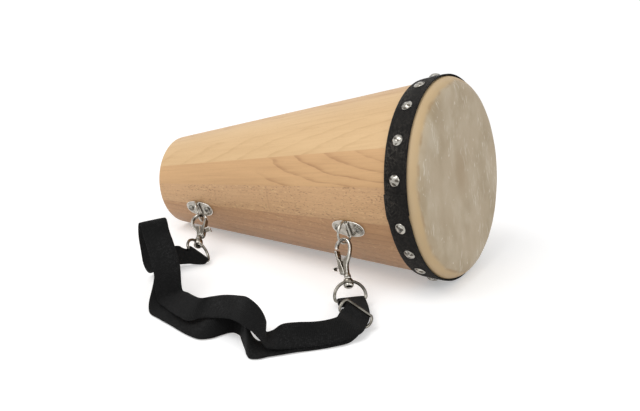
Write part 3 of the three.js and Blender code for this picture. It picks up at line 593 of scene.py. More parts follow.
def eyeTurn(end, towards, upright, side):
    # the turn round an eye's bar, pulled towards a point
    centre = hooks[end]["origin"] + hooks[end]["axes"][1] * eye["bar"]
    bar = hooks[end]["bar"] * np.sign(np.dot(hooks[end]["bar"], upright))
    pull = squareTo(towards - centre, bar)
    over = side * unit(np.cross(bar, pull))
    return turnRound(centre, bar, pull, over, overWire(eye["wire"]), *strap["ends"][end])


def stationsOf(stretch):
    return np.reshape(strap[stretch], (-1, 2, 3)) + strap["shift"]


def strapStations():
    # Every stretch in order, and how the slider lies: webbing over one bar and under the other
    start, outwardRun, standing, returning = map(stationsOf, ("slider", "outward", "standing", "returning"))
    middle, across = middleOf(start)[0], acrossOf(start)[0]
    along = squareTo(middleOf(outwardRun)[1] - middle, across)
    up = unit(np.cross(across, along))
    overBar = overWire(slider["wire"]) + strap["fit"]
    underBar = overBar + webbing["thickness"] + strap["fit"]
    pitch = slider["width"] - 2 * slider["wire"]
    upper = middle + up * overBar
    lower = middle - up * underBar + along * math.sqrt(pitch ** 2 - (overBar + underBar) ** 2)
    outward = np.concatenate([start, outwardRun])
    fold = np.concatenate([outwardRun[-1:], standing])
    parts = {
        "frontTurn": eyeTurn("front", middle, across, -1),
        "outward": outward,
        "standing": standing,
        "rearTurn": eyeTurn("rear", middleOf(standing)[-1], vec(0, 0, 1), 1),
        "foldBack": secondLayer(fold, 2, len(fold) - 1),
        "returning": returning,
        "beside": secondLayer(outward, 3, 6, strap["besideDrop"]),
        "sliderTurn": turnRound(lower, across, along, -up, overBar, *strap["ends"]["slider"]),
    }
    return parts, (upper, lower, across)


def throughPoints(points, places):
    # Centripetal Catmull-Rom curve at places counted in points, the ends carried on straight
    padded = np.vstack([2 * points[0] - points[1], points, 2 * points[-1] - points[-2]])
    i = np.clip(np.floor(places).astype(int), 0, len(points) - 2)
    t = (places - i)[:, None]
    p0, p1, p2, p3 = (padded[i + k] for k in range(4))
    gap = lambda a, b: np.maximum(np.linalg.norm(b - a, axis=1, keepdims=True) ** 0.5, 1e-4)
    d0, d1, d2 = gap(p0, p1), gap(p1, p2), gap(p2, p3)
    m1 = ((p1 - p0) / d0 - (p2 - p0) / (d0 + d1) + (p2 - p1) / d1) * d1
    m2 = ((p2 - p1) / d1 - (p3 - p1) / (d1 + d2) + (p3 - p2) / d2) * d1
    c2 = -3 * p1 + 3 * p2 - 2 * m1 - m2
    c3 = 2 * p1 - 2 * p2 + m1 + m2
    return p1 + m1 * t + c2 * t ** 2 + c3 * t ** 3


strapParts, sliderLie = strapStations()
strapLine = np.concatenate(list(strapParts.values()))
starts = dict(zip(strapParts, np.cumsum([0] + [len(rows) for rows in strapParts.values()])))
lastStation = len(strapLine) - 1
strapPlaces = np.linspace(0, lastStation, lastStation * strap["places"] + 1)
strapLow, strapHigh = (throughPoints(strapLine[:, k], strapPlaces) for k in (0, 1))
strapMiddle = (strapLow + strapHigh) / 2
strapAcross = unit(strapHigh - strapLow)
strapRun = runAlong(strapMiddle)


def strapPiece(name, first, last):
    # The webbing between two stations, as a closed ribbon with its length in mm
    low, high = np.interp([first, last], strapPlaces, strapRun)
    run = np.linspace(low, high, max(int((high - low) / webbing["step"]), 4) + 1)
    reach = np.concatenate([[low - strap["fit"]], run, [high + strap["fit"]]])
    middle = pointsAt(reach, strapRun, strapMiddle)
    across = unit(pointsAt(reach, strapRun, strapAcross))[1:-1]
    normal = unit(np.cross(unit(middle[2:] - middle[:-2]), across))
    sizes = (webbing["width"], webbing["thickness"], strap["notch"])
    rings, uv = webRings(middle[1:-1], across, normal, run, *sizes)
    piece = loftMesh(name, rings, caps=True, uv=uv, sharp=70)
    dress(piece, webbingMaterial, None, "strap")
    return piece, rings[0], rings[-1]


def crossing(pieces, count=4000):
    # Of many directions spread over a ball, it picks the one with the widest gap between every first
    # edge and every last edge, and it puts each piece's place into its mesh.
    firsts = np.concatenate([p[1] for p in pieces])
    lasts = np.concatenate([p[2] for p in pieces])
    k = np.arange(count) + 0.5
    height, turn = 1 - 2 * k / count, math.pi * (1 + math.sqrt(5)) * k
    level = np.sqrt(1 - height ** 2)
    ways = columns(level * np.cos(turn), level * np.sin(turn), height)
    gaps = (ways @ lasts.T).min(1) - (ways @ firsts.T).max(1)
    way = ways[gaps.argmax()]
    for piece, _, _ in pieces:
        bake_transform(piece)


# Where the layers are cut, as stations after the start of a stretch: the upper one on its way out,
# and the one that comes back under it. Between two cuts lies one piece.
strapCuts = {
    "upper": [
        ("outward", 0.6), ("outward", 3.5), ("outward", 8), ("outward", 16),
        ("standing", 4.5), ("standing", 9), ("standing", 12.3),
    ],
    "under": [
        ("sliderTurn", 0), ("beside", 2.5), ("returning", 14), ("returning", 3),
        ("foldBack", 7.5), ("foldBack", 3), ("foldBack", -0.3),
    ],
}
strapSteps = [
    ("strapFrontRun1", "strapTailRun1", "front_swivel", "front_snap"),
    ("strapFrontRun2", "strapTailRun2", "front_snap", "front_ring"),
    ("strapFrontRun3", "strapTailRun3", "front_ring", "drum"),
    ("strapRearRun1", "strapBackRun1", "drum", "rear_ring"),
    ("strapRearRun2", "strapBackRun2", "rear_ring", "rear_snap"),
    ("strapRearRun3", "strapBackRun3", "rear_snap", "rear_swivel"),
]


def makeStrap():
    # Both ends ride on their swivels. Between them each layer is made in long pieces from cut to cut,
    # one piece for each step.
    upper, under = ([starts[key] + k for key, k in strapCuts[layer]] for layer in ("upper", "under"))
    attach(strapPiece("strapFrontLoop", 0, upper[0])[0], "front_swivel")
    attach(strapPiece("strapRearLoop", upper[-1], under[-1])[0], "rear_swivel")
    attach(strapPiece("strapTail", under[0], lastStation)[0], "front_swivel")
    for k, (upperName, underName, near, far) in enumerate(strapSteps):
        over = strapPiece(upperName, upper[k], upper[k + 1])
        piece, last, first = strapPiece(underName, under[k + 1], under[k])
        crossing([over, (piece, first, last)])


makeStrap()
print("strap made,", round(float(strapRun[-1])), "mm of webbing")


# the wooden shell; its frame has X its top, Y the strap side, Z up the axis from the small end
shell = {
    "length": 340.5,
    "headRadius": 98.8,
    "smallRadius": 48.2,
    "wall": 12.0,
    "staves": 16,
    "turn": 9.3,  # degrees from the strap side up to the nearest joint
    "gap": 0.03,
    "bearingRadius": 13.0,
    "land": 1.0,
    "smallRound": 2.5,
    "arcSteps": 10,
    "rows": 60,  # of its mesh, along a stave
    "fingerJoint": 0.160,  # up the first stave, in m
    "bump": 0.00012,
}
drumOrigin = vec(-171.8, 75.519, 47.772)
drumAxes = np.array([(-0.161471, 0, 0.986877), (0, -1, 0), (0.986877, 0, 0.161471)])
slope = (shell["headRadius"] - shell["smallRadius"]) / shell["length"]
taper = math.atan(slope)


def outerRadius(z, proud=0):
    return shell["smallRadius"] + slope * np.asarray(z, float) + proud / math.cos(taper)


def innerRadius(z):
    return outerRadius(z, -shell["wall"])


def wallAt(angle, z):
    # a point of the bare wall, and the directions up along it and out of it, in the shell's frame
    x, y, radius = np.cos(angle), np.sin(angle), float(outerRadius(z))
    along = columns(math.sin(taper) * x, math.sin(taper) * y, math.cos(taper))
    out = columns(math.cos(taper) * x, math.cos(taper) * y, -math.sin(taper))
    return columns(radius * x, radius * y, z), along, out


def fastenerFrame(angle, z, proud=0):
    # origin proud of the wall, with X up the shell, Y round it and Z out
    point, along, out = wallAt(angle, z)
    axes = np.array([along, np.cross(out, along), out])
    return inFrame(point + out * proud, drumOrigin, drumAxes), axes @ drumAxes


edgeCentreZ = shell["length"] - shell["bearingRadius"]
edgeCentreR = outerRadius(edgeCentreZ) - shell["bearingRadius"] / math.cos(taper)


def bearingArc(offset, lastAngle, steps):
    # the round of the bearing edge, offset from the wood, as (r, z)
    radius = shell["bearingRadius"] + offset
    return arc(edgeCentreR, edgeCentreZ, radius, radius, -taper, lastAngle, steps + 1)


def staveProfile():
    # (r, z) from the rounded foot up the taper to where the round of the bearing edge meets the land
    soft = shell["smallRound"]
    foot = arc(outerRadius(soft) - soft / math.cos(taper), soft, soft, soft, -math.pi / 2, -taper, count=8)
    land = (innerRadius(shell["length"]) + shell["land"] - edgeCentreR) / shell["bearingRadius"]
    top = bearingArc(0, math.acos(land), steps=10)
    z = np.linspace(foot[-1, 1], top[0, 1], shell["rows"])[1:-1]
    return np.vstack([foot, columns(outerRadius(z), z), top])


woodTones = {  # pale and dark colour of each, and its slot
    "paleYellow": ((0.71, 0.48, 0.25, 1), (0.53, 0.32, 0.145, 1), "wood_pale"),
    "straw": ((0.67, 0.43, 0.21, 1), (0.48, 0.27, 0.12, 1), "wood_pale"),
    "honey": ((0.65, 0.395, 0.19, 1), (0.42, 0.225, 0.098, 1), "wood_warm"),
    "tan": ((0.62, 0.375, 0.19, 1), (0.40, 0.22, 0.105, 1), "wood_warm"),
    "rose": ((0.515, 0.283, 0.135, 1), (0.295, 0.145, 0.063, 1), "wood_pink"),
    "rust": ((0.475, 0.258, 0.12, 1), (0.27, 0.132, 0.056, 1), "wood_pink"),
}

# By stave from the joint nearest the strap side, going down and round: tone, pith across and
# below the face in mm, lean across and in depth, ring spacing, rings, from where they show, pores
staveWood = [
    ("tan", (52, 20), (0.0, 0.0), 3.4, 0.3, -1, 1.0),
    ("rose", (60, 50), (0.03, 0.02), 5.2, 0.6, -1, 0.7),
    ("rust", (30, 60), (0.02, 0.03), 4.6, 0.6, -1, 0.6),
    ("tan", (-45, 20), (0.0, 0.01), 3.4, 0.4, -1, 0.8),
    ("straw", (10, 60), (0.02, -0.11), 5.4, 0.7, -1, 0.3),
    ("honey", (60, 10), (0.0, 0.0), 3.0, 0.35, -1, 0.7),
    ("paleYellow", (-15, 45), (0.0, 0.14), 5.6, 0.7, -1, 0.2),
    ("rose", (50, 25), (0.0, 0.0), 3.4, 0.4, -1, 0.5),
    ("straw", (8, 75), (0.01, -0.15), 5.8, 0.8, -1, 0.2),
    ("honey", (-55, 15), (0.0, 0.0), 3.0, 0.35, -1, 0.7),
    ("paleYellow", (12, 40), (0.0, 0.13), 5.4, 0.6, -1, 0.2),
    ("tan", (45, 30), (0.01, 0.02), 3.6, 0.45, -1, 0.6),
    ("straw", (-6, 70), (-0.02, -0.12), 5.6, 0.7, -1, 0.2),
    ("paleYellow", (35, 60), (0.05, -0.06), 5.2, 0.4, -1, 0.15),
    ("paleYellow", (18, 71), (0.0, -0.13), 6.1, 0.55, -1, 0.12),
    ("honey", (-17, 71.4), (0.0, -0.15), 5.85, 1.0, 0.155, 0.1),
]
woodNoise = {  # repeats a metre across, in depth and along, detail, and for patches their limits
    "slowWave": ((26, 26, 9), 2),
    "quickWave": ((160, 160, 30), 2),
    "fibres": ((1100, 1100, 30), 3),
    "broad": ((42, 42, 6), 3),
    "streaks": ((260, 260, 7), 2),
    "broken": ((240, 240, 45), 2, (0.3, 0.6, 0.45, 1.0)),
    "zone": ((55, 55, 12), 2, (0.3, 0.55, 0.3, 1.0)),
    "pores": ((900, 900, 330), 1, (0.57, 0.7)),
    "rays": ((700, 700, 190), 1, (0.6, 0.72), (5, 9, 2)),  # and their seed
}
woodShare = {  # the waves move the rings, in m; the others darken or lighten
    "slowWave": 0.0075,
    "quickWave": 0.0018,
    "rings": 0.8,
    "ownYear": 0.5,  # how unevenly the years darken
    "broad": 0.95,
    "fibres": 0.5,
    "streaks": 0.4,
    "base": 0.16,
    "pores": 0.5,
    "rays": 0.5,
}
woodMarks = {
    "softening": (0.3, 0.95, 0.0, 0.35),  # of late wood over the year: begins, ends, from, to
    "hardening": (0.72, 0.94, 0.0, 0.65),
    "stop": (0.94, 1.0, 1.0, 0.0),
    "fade": 0.02,  # m in which the rings come in where they start along a stave
    "seam": (0.0003, 0.0014, 0.32, 0.0),
    "rayColor": (0.76, 0.53, 0.27, 1),
    "poreColor": (0.2, 0.105, 0.045, 1),
    "rough": {"fibres": 0.24, "pores": 0.2, "base": 0.47},
    "depth": {"fibres": 0.8, "seam": 0.5},  # in the relief, where a pore's is 1
}


def woodGroup():
    # Rings are shells about the pith line: distance from it plus slow noise, over the spacing;
    # each year's late wood darkens and stops sharply. Place is across, depth and along, in m.
    group, given = newGroup("staveWood", "Pale Dark", "Spacing Rings Pores From Finger", "Pith Lean Seed")
    place, share, marks = given["Place"], woodShare, woodMarks
    about = lambda key: (noise(place, *woodNoise[key], given["Seed"]) - 0.5) * share[key]
    patch = lambda key: patches(place, *woodNoise[key], given["Seed"])
    height = axisOf(place, "Z")
    pith = shifted(given["Lean"], height, given["Pith"])
    distance = lengthOf(shifted(place, (1, 1, 0), shifted(pith, (-1, -1, 0))))
    phase = (distance + about("slowWave") + about("quickWave")) / given["Spacing"]
    year, count = phase.calc("FRACT"), phase.calc("FLOOR")
    late = ramp(year, *marks["softening"]) + ramp(year, *marks["hardening"])
    late = late * ramp(year, *marks["stop"])
    own = valueOf(group, "ShaderNodeTexWhiteNoise", "Value", {"W": count}, noise_dimensions="1D")
    begins = ramp(height, given["From"] - marks["fade"], given["From"] + marks["fade"])
    own = own * share["ownYear"] + (1 - share["ownYear"])
    rings = late * own * given["Rings"] * patch("broken") * begins
    fibres = about("fibres")
    tone = rings * share["rings"] + about("broad") + fibres + about("streaks") + share["base"]
    base = mixColor(tone, given["Pale"], given["Dark"])
    # open pores as short dark flecks, gathered in zones, with pale ray flecks between them
    zone = patch("zone") * given["Pores"]
    flecks = patch("pores") * zone
    rays = patches(place, *woodNoise["rays"]) * zone
    base = mixColor(rays * share["rays"], base, marks["rayColor"])
    base = mixColor(flecks * share["pores"], base, marks["poreColor"])
    # a glued finger joint across the board shows as a hair line
    seam = ramp((height - given["Finger"]).calc("ABSOLUTE"), *marks["seam"])
    base = mixColor(seam, base, given["Dark"])
    rough, depth = marks["rough"], marks["depth"]
    roughness = fibres * rough["fibres"] + flecks * rough["pores"] + rough["base"]
    relief = fibres * depth["fibres"] - flecks - seam * depth["seam"]
    return finishGroup(group, base, roughness, relief)


wood = woodGroup()


def boardLook(index):
    tone, pith, lean, spacing, rings, showFrom, pores = staveWood[index]
    look = {
        "Pith": (pith[0] / 1000, pith[1] / 1000, 0),
        "Lean": (*lean, 0),
        "Spacing": spacing / 1000,
        "Rings": rings,
        "Pores": pores,
        "Pale": woodTones[tone][0],
        "Dark": woodTones[tone][1],
        "Seed": (index * 3.7, index * 1.9, index * 5.3),
        "Finger": shell["fingerJoint"] if index == 0 else 10.0,
        "From": showFrom,
    }
    shader = {"Specular IOR Level": 0.4, "Coat Weight": 0.12, "Coat Roughness": 0.35}
    return newMaterial(f"wood{index + 1:02d}", wood, look, onBoard, shell["bump"], shader)


def makeStave(index):
    # Each row of the profile is an arc out at r and back at the inner radius, both clear of the
    # glue line; the grain place is (r sin a, outer - r cos a, z) about the stave's middle.
    profile = staveProfile()
    r, z = profile[:, :1], profile[:, 1:]
    sweep = 2 * math.pi / shell["staves"]
    first = math.radians(90 - shell["turn"]) + index * sweep
    share = np.linspace(0, 1, shell["arcSteps"] + 1)
    trimOut, trimIn = (np.arcsin(shell["gap"] / 2 / k) for k in (r, innerRadius(z)))
    outAngle = first + trimOut + share * (sweep - 2 * trimOut)
    inAngle = first + sweep - trimIn - share * (sweep - 2 * trimIn)
    angle = np.hstack([outAngle, inAngle])
    radius = np.hstack([np.broadcast_to(k, outAngle.shape) for k in (r, innerRadius(z))])
    turned = angle - (first + sweep / 2)
    local = columns(radius * np.cos(angle), radius * np.sin(angle), z)
    grain = columns(radius * np.sin(turned), outerRadius(z) - radius * np.cos(turned), z) / 1000
    rings = inFrame(local, drumOrigin, drumAxes)
    marks = {"grain": grain.reshape(-1, 3)}
    piece = loftMesh(f"board{index + 1:02d}", rings, caps=True, marks=marks, sharp=50)
    dress(piece, boardLook(index), "drum", f"stave_{index + 1:02d}")


for number in range(shell["staves"]):
    makeStave(number)
print("staves made")


skin = {
    "fit": 0.3,
    "thickness": 1.2,
    "skirt": 34.0,
    "segments": 256,
    "underRings": 12,
    "faceRings": 40,
    "pull": 0.22,  # how unevenly it has dried in towards the edge
    "pullFrom": (60, 90),
    "face": (0.437, 0.347, 0.234, 1),
    "cloud": (0.372, 0.289, 0.182, 1),
    "milk": (0.53, 0.45, 0.327, 1),
    "rim": (0.565, 0.402, 0.215, 1),
    "fibre": (0.74, 0.69, 0.58, 1),
    "stain": (0.33, 0.23, 0.125, 1),
    "margin": (0.40, 0.27, 0.125, 1),
    "soil": (0.34, 0.21, 0.09, 1),
    "edgeAt": (0.0912, 0.0944),  # radii in m between which the face becomes the rim
    "marginAt": (0.0915, 0.0985),
    "soilAt": 0.0922,
    "soilHalf": (0.0002, 0.0018),
    "wander": 0.006,  # how far all these run out of round
    "stainAt": (0.004, 0.024, 0.5, 0.0),  # from and to these radii, that much and none of it
    "stainShape": ((0.8, 1.1, 0), (-0.004, -0.004, 0)),  # what its radii are stretched and moved by
    "stainWander": 2.5,  # times as far out of round as the rim
    "bump": 0.00015,
}
faceHeight = shell["length"] + skin["fit"] + skin["thickness"]
hideNoise = {  # repeats a metre on each axis, detail, and for patches their limits and seed
    "clouds": ((22, 27, 30), 4, (0.34, 0.7)),
    "milk": ((30, 40, 20), 4, (0.42, 0.76), (3, 7, 1)),
    "fibres": ((95, 640, 300), 1, (0.58, 0.7)),
    "shown": ((34, 44, 30), 2, (0.52, 0.66)),
    "specks": ((230, 290, 300), 0, (0.8, 0.86), (2, 2, 9)),
    "soil": ((70, 70, 70), 3, (0.38, 0.66, 0.05, 0.6)),
    "wander": ((34, 34, 34), 3),
    "rim": ((40, 40, 40), 3),
    "grain": ((900, 900, 900), 3),
}
hideShare = {
    "milk": 0.6,
    "fibres": 0.5,
    "rim": 0.45,  # of the face's colour that comes through in the rim
    "margin": 0.4,
    "rough": {"grain": 0.12, "milk": 0.08, "base": 0.5},
    "depth": {"grain": 0.5, "clouds": 0.8, "fibres": 0.4},  # in the relief, where the soil's is 1
}
fibreLeans = ((0.32, (8, 2, 4)), (-0.12, (1, 6, 3)))  # turn in radians, and seed


def skinGroup():
    # Mottled hide: slow clouds, milky patches, short pale fibres that lie two ways up the head, a
    # brown stain in the middle, and a clearer yellow round where it turns over the edge
    group, given = newGroup("hide", "Face Cloud Milk Rim")
    place, share = given["Place"], hideShare
    patch = lambda key: patches(place, *hideNoise[key])
    cloud = patch("clouds")
    base = mixColor(cloud, given["Face"], given["Cloud"])
    milk = patch("milk")
    base = mixColor(milk * share["milk"], base, given["Milk"])
    # fibres: thin noise drawn out along the head, once leaning each way, where a slow noise lets them show
    fibres = patch("specks")
    for lean, seed in fibreLeans:
        turned = valueOf(group, "ShaderNodeMapping", 0, {"Vector": place, "Rotation": (0, 0, lean)})
        thin, shown = patches(turned, *hideNoise["fibres"], seed), patches(place, *hideNoise["shown"], seed)
        fibres = fibres.calc("MAXIMUM", thin * shown)
    base = mixColor(fibres * share["fibres"], base, skin["fibre"])
    wander = (noise(place, *hideNoise["wander"]) - 0.5) * skin["wander"]
    fromStain = lengthOf(shifted(place, *skin["stainShape"])) + wander * skin["stainWander"]
    base = mixColor(ramp(fromStain, *skin["stainAt"]), base, skin["stain"])
    spread = lengthOf(shifted(place, (1, 1, 0))) + wander
    edge = ramp(spread, *skin["edgeAt"])
    rim = mixColor(noise(place, *hideNoise["rim"]) * share["rim"], given["Rim"], given["Face"])
    rim = mixColor(ramp(spread, *skin["marginAt"], share["margin"], 0.0) * edge, rim, skin["margin"])
    base = mixColor(edge, base, rim)
    # a broken soiled line where the flat meets the round
    soil = ramp((spread - skin["soilAt"]).calc("ABSOLUTE"), *skin["soilHalf"], 1.0, 0.0) * patch("soil")
    base = mixColor(soil, base, skin["soil"])
    grain = noise(place, *hideNoise["grain"])
    rough, depth = share["rough"], share["depth"]
    roughness = grain * rough["grain"] - milk * rough["milk"] + rough["base"]
    relief = grain * depth["grain"] + cloud * depth["clouds"] - fibres * depth["fibres"] - soil
    return finishGroup(group, base, roughness, relief)


def makeSkin():
    # Profile from the middle of the inside, out and down the skirt, and back up over the outside
    inner = bearingArc(skin["fit"], math.pi / 2, steps=16)[::-1]
    outer = bearingArc(skin["fit"] + skin["thickness"], math.pi / 2, steps=20)
    end = faceHeight - skin["skirt"] * math.cos(taper)
    skirt = [(outerRadius(end, proud), end) for proud in (skin["fit"], skin["fit"] + skin["thickness"])]
    reach = np.linspace(0, inner[0, 0], skin["underRings"], endpoint=False)
    under = columns(reach, faceHeight - skin["thickness"])
    face = columns(np.linspace(outer[-1, 0], 0, skin["faceRings"])[1:], faceHeight)
    rings = revolvedRings(np.vstack([under, inner, skirt, outer, face]), skin["segments"])
    # dried in unevenly: |sin 9a sin 4a| lower towards the edge
    a = np.arctan2(rings[..., 1], rings[..., 0])
    near = smooth(np.hypot(rings[..., 0], rings[..., 1]), *skin["pullFrom"])
    pull = skin["pull"] * np.abs(np.sin(9 * a + 1) * np.sin(4 * a)) * near
    rings[..., 2] -= pull * (rings[..., 2] > edgeCentreZ)
    marks = {"hidePlace": rings.reshape(-1, 3) / 1000}
    piece = loftMesh("skinHead", inFrame(rings, drumOrigin, drumAxes), marks=marks, merge=True)
    look = {key: skin[key.lower()] for key in ("Face", "Cloud", "Milk", "Rim")}
    shader = {"Specular IOR Level": 0.4, "Coat Weight": 0.05, "Coat Roughness": 0.4}
    material = newMaterial("hide", skinGroup(), look, onHide, skin["bump"], shader)
    dress(piece, material, "drum", "skin_head")


makeSkin()
print("skin made")


# one length of the webbing nailed round the rim, its end lapped over its start
rimBand = {
    "setback": 11.0,
    "width": 25.0,
    "thickness": 1.4,
    "notch": 0.03,
    "seam": 84.0,  # degrees from the top towards the strap side, where the outer end stops
    "lap": 11.0,  # degrees of overlap
    "rise": (7.0, 0.5),  # degrees before a full turn between which the end climbs on the start
    "clear": 0.05,  # between the two there
}
tackHeight = faceHeight - (rimBand["setback"] + rimBand["width"] / 2) * math.cos(taper)
bandProud = 2 * skin["fit"] + skin["thickness"] + rimBand["thickness"]


def makeBand():
    # The angle runs once round and the lap more; the end ramps out by a layer over the start
    full, lap = 2 * math.pi, math.radians(rimBand["lap"])
    middleProud = bandProud - rimBand["thickness"] / 2
    radius = float(outerRadius(tackHeight, middleProud))
    turn = np.linspace(0, full + lap, int((full + lap) * radius / webbing["step"]) + 1)
    climb = smooth(turn, *(full - math.radians(k) for k in rimBand["rise"]))
    lift = climb * (rimBand["thickness"] + rimBand["clear"])
    point, across, out = wallAt(math.radians(rimBand["seam"]) + lap - turn, tackHeight)
    centre = point + out * (middleProud + lift)[:, None]
    sizes = (rimBand["width"], rimBand["thickness"], rimBand["notch"])
    rings, uv = webRings(centre, across, out, turn * radius, *sizes)
    piece = loftMesh("rimBand", inFrame(rings, drumOrigin, drumAxes), caps=True, uv=uv, sharp=70)
    dress(piece, bandMaterial, "drum", "rim_band")


makeBand()
print("band made")


metals = {
    # the last colour of each is that of its edges: rubbed wear and painted highlight
    "nickel": {
        "Bright": (0.475, 0.455, 0.41, 1), "Dull": (0.315, 0.297, 0.26, 1), "Worn": (0.70, 0.68, 0.63, 1),
        "Polish": 0.12, "Grain": 210.0,
    },
    "cast": {
        "Bright": (0.26, 0.237, 0.2, 1), "Dull": (0.122, 0.106, 0.086, 1), "Worn": (0.68, 0.65, 0.60, 1),
        "Polish": 0.13, "Grain": 170.0,
    },
    "chrome": {
        "Bright": (0.235, 0.222, 0.195, 1), "Dull": (0.11, 0.1, 0.084, 1), "Worn": (0.62, 0.60, 0.56, 1),
        "Polish": 0.1, "Grain": 120.0,
    },
    "steel": {
        "Bright": (0.34, 0.325, 0.29, 1), "Dull": (0.18, 0.166, 0.14, 1), "Worn": (0.55, 0.53, 0.49, 1),
        "Polish": 0.25, "Grain": 300.0,
    },
}
metalWearAndShade = {
    # colour in the hollows: tarnish and painted shade
    "tarnishAndShade": (0.05, 0.04, 0.03, 1),
    "fine": (2600, 2600, 2600),  # marks of handling, repeats a metre
    "clouds": (0.36, 0.66),
    "uneven": 0.12,
    "deep": (0.03, 0.2),  # hollows in mm between which tarnish and painted shade gather
    "proud": (-0.33, -0.13, 1.0, 0.0),  # and edges, made lighter as rubbed wear and painted highlight
    "cover": 0.85,  # how much of a hollow is darkened by tarnish and painted shade
    "rough": {"clouds": 0.08, "fine": 0.06, "deep": 0.25},  # added to the polish
    "depth": 0.15,  # of the fine marks, in the relief
    "bump": 0.0003,
}


def metalGroup():
    # Plating with slow unevenness and faint handling marks, lighter on its edges with rubbed wear and
    # painted highlight, and darker in its hollows with tarnish and painted shade
    group, given = newGroup("plating", "Bright Dull Worn", "Polish Grain Hollow")
    slow = noise(given["Place"], given["Grain"], 3)
    fine = noise(given["Place"], metalWearAndShade["fine"], 2)
    share = ramp(slow, *metalWearAndShade["clouds"])
    uneven = given["Hollow"] + (slow - 0.5) * metalWearAndShade["uneven"]
    deep = ramp(uneven, *metalWearAndShade["deep"])
    tone = mixColor(share, given["Bright"], given["Dull"])
    # edges lighter: rubbed wear and painted highlight
    tone = mixColor(ramp(uneven, *metalWearAndShade["proud"]), tone, given["Worn"])
    # hollows darker: tarnish and painted shade
    tone = mixColor(deep * metalWearAndShade["cover"], tone, metalWearAndShade["tarnishAndShade"])
    rough = metalWearAndShade["rough"]
    roughness = given["Polish"] + share * rough["clouds"] + fine * rough["fine"] + deep * rough["deep"]
    return finishGroup(group, tone, roughness, slow + fine * metalWearAndShade["depth"])


plating = metalGroup()


def metalLook(name):
    shader, marks = {"Metallic": 1.0}, {"Hollow": "hollow"}
    return newMaterial(name, plating, metals[name], onObject, metalWearAndShade["bump"], shader, marks)


metalMaterials = {name: metalLook(name) for name in metals}

tack = {
    "radius": 5.5,
    "rise": 2.3,
    "edge": 0.3,
    "shank": 0.9,  # radius
    "length": 10.0,
    "chamfer": (0.12, 0.1),  # in and up, under its edge
    "dent": 0.13,
    "tarnishAndShade": 0.3,  # painted shade and tarnish in a dent, as a hollow in mm
    "angles": (14, 33.4, 55.2, 76.7, 102.9, 120.6, 136.8, 153.4, 170),  # seen, from the top down
    "far": 9,  # spread evenly over the rest
    "segments": 40,
}


def makeTacks():
    # Shank, flat underside and a cap of a sphere of radius (r^2 + h^2) / 2h, a little dented
    radius, edge = tack["radius"], tack["edge"]
    sphere = (radius ** 2 + tack["rise"] ** 2) / (2 * tack["rise"])
    cap = math.asin(radius / sphere)
    dome = arc(0, edge - sphere * math.cos(cap), sphere, sphere, math.pi / 2 - cap, math.pi / 2, count=14)
    point = [(0, -tack["length"]), (tack["shank"], 2 * tack["shank"] - tack["length"])]
    lip = [(tack["shank"], 0), (radius - tack["chamfer"][0], 0), (radius, tack["chamfer"][1])]
    places = list(tack["angles"])
    firstFar, lastFar = 360 - places[-1], 360 + places[0]
    places += [firstFar + k * (lastFar - firstFar) / tack["far"] for k in range(tack["far"])]
    for k, degrees in enumerate(places):
        rings = revolvedRings(np.vstack([point, lip, dome]), tack["segments"])
        x, y = rings[..., 0] / radius, rings[..., 1] / radius
        dents = np.sin(1.7 * k - 5.1 * x) * np.cos(2.3 * k - 4.3 * y) + 0.6 * np.sin(k - 8 * y - 3.1 * x)
        top = rings[..., 2] > edge
        rings[..., 2] -= tack["dent"] * (dents + 1.6) * (1 - x ** 2 - y ** 2) * top
        rings = inFrame(rings, *fastenerFrame(math.radians(degrees), tackHeight, bandProud + skin["fit"]))
        # the dents darkened with painted shade and tarnish, through the hollow mark
        marks = {"hollow": (tack["tarnishAndShade"] * np.clip(dents, 0, 1) * top).ravel()}
        piece = loftMesh(f"tackHead{k + 1:02d}", rings, marks=marks, merge=True, sharp=60)
        dress(piece, metalMaterials["nickel"], "drum", f"tack_{k + 1:02d}")


makeTacks()
print("tacks made")


plate = {
    "drop": 18.4,  # degrees below the strap side
    "setback": {"front": 86.5, "rear": 284.5},
    "thickness": 1.2,
    "spacing": 24.0,
    "dimple": 0.75,
    "dimpleRadius": 5.2,
    "top": 0.4,  # above this height the points are of the outer face
    "voxel": 0.3,
    "rounds": 4,  # of smoothing
}
screw = {
    "head": 3.4,
    "rise": 1.8,
    "shank": 1.4,
    "length": 9.0,
    "tip": 3.0,
    "rim": 0.4,
    "chamfer": (0.15, 0.2),
    "recess": 0.9,
    "recessFrom": 0.5,  # above the plate, up to the top of the head
    "tarnishAndShade": 0.4,  # painted shade in the recess, as a hollow in mm
    "slotReach": (1.4, 2.0),  # radii between which the cross runs out
    "slotHalf": (0.25, 0.5),
}
ring = {
    "wire": 2.4,
    "width": 21.0,
    "reach": 15.4,
    "corner": 2.0,
    "swing": {"front": 0.0, "rear": 40.0},
    "barHeight": 2.0,
}


def plateFrame(end):
    return fastenerFrame(math.radians(90 + plate["drop"]), faceHeight - plate["setback"][end])


def makePlate(end):
    # The CAD plate with a raised round about each screw: h/2 (1 + cos(pi d / r))
    point, axes = plateFrame(end)

    def press(points):
        local = (points - point) @ axes.T
        for x in (-plate["spacing"] / 2, plate["spacing"] / 2):
            away = np.hypot(local[:, 0] - x, local[:, 1])
            hill = plate["dimple"] * 0.5 * (1 + np.cos(np.pi * np.clip(away / plate["dimpleRadius"], 0, 1)))
            local[:, 2] += hill * (local[:, 2] > plate["top"])
        return inFrame(local, point, axes)

    piece = mergedCopy(f"{end}_plate", f"{end}Plate", plate["voxel"], plate["rounds"], press)
    dress(piece, metalMaterials["nickel"], "drum", f"{end}_plate")


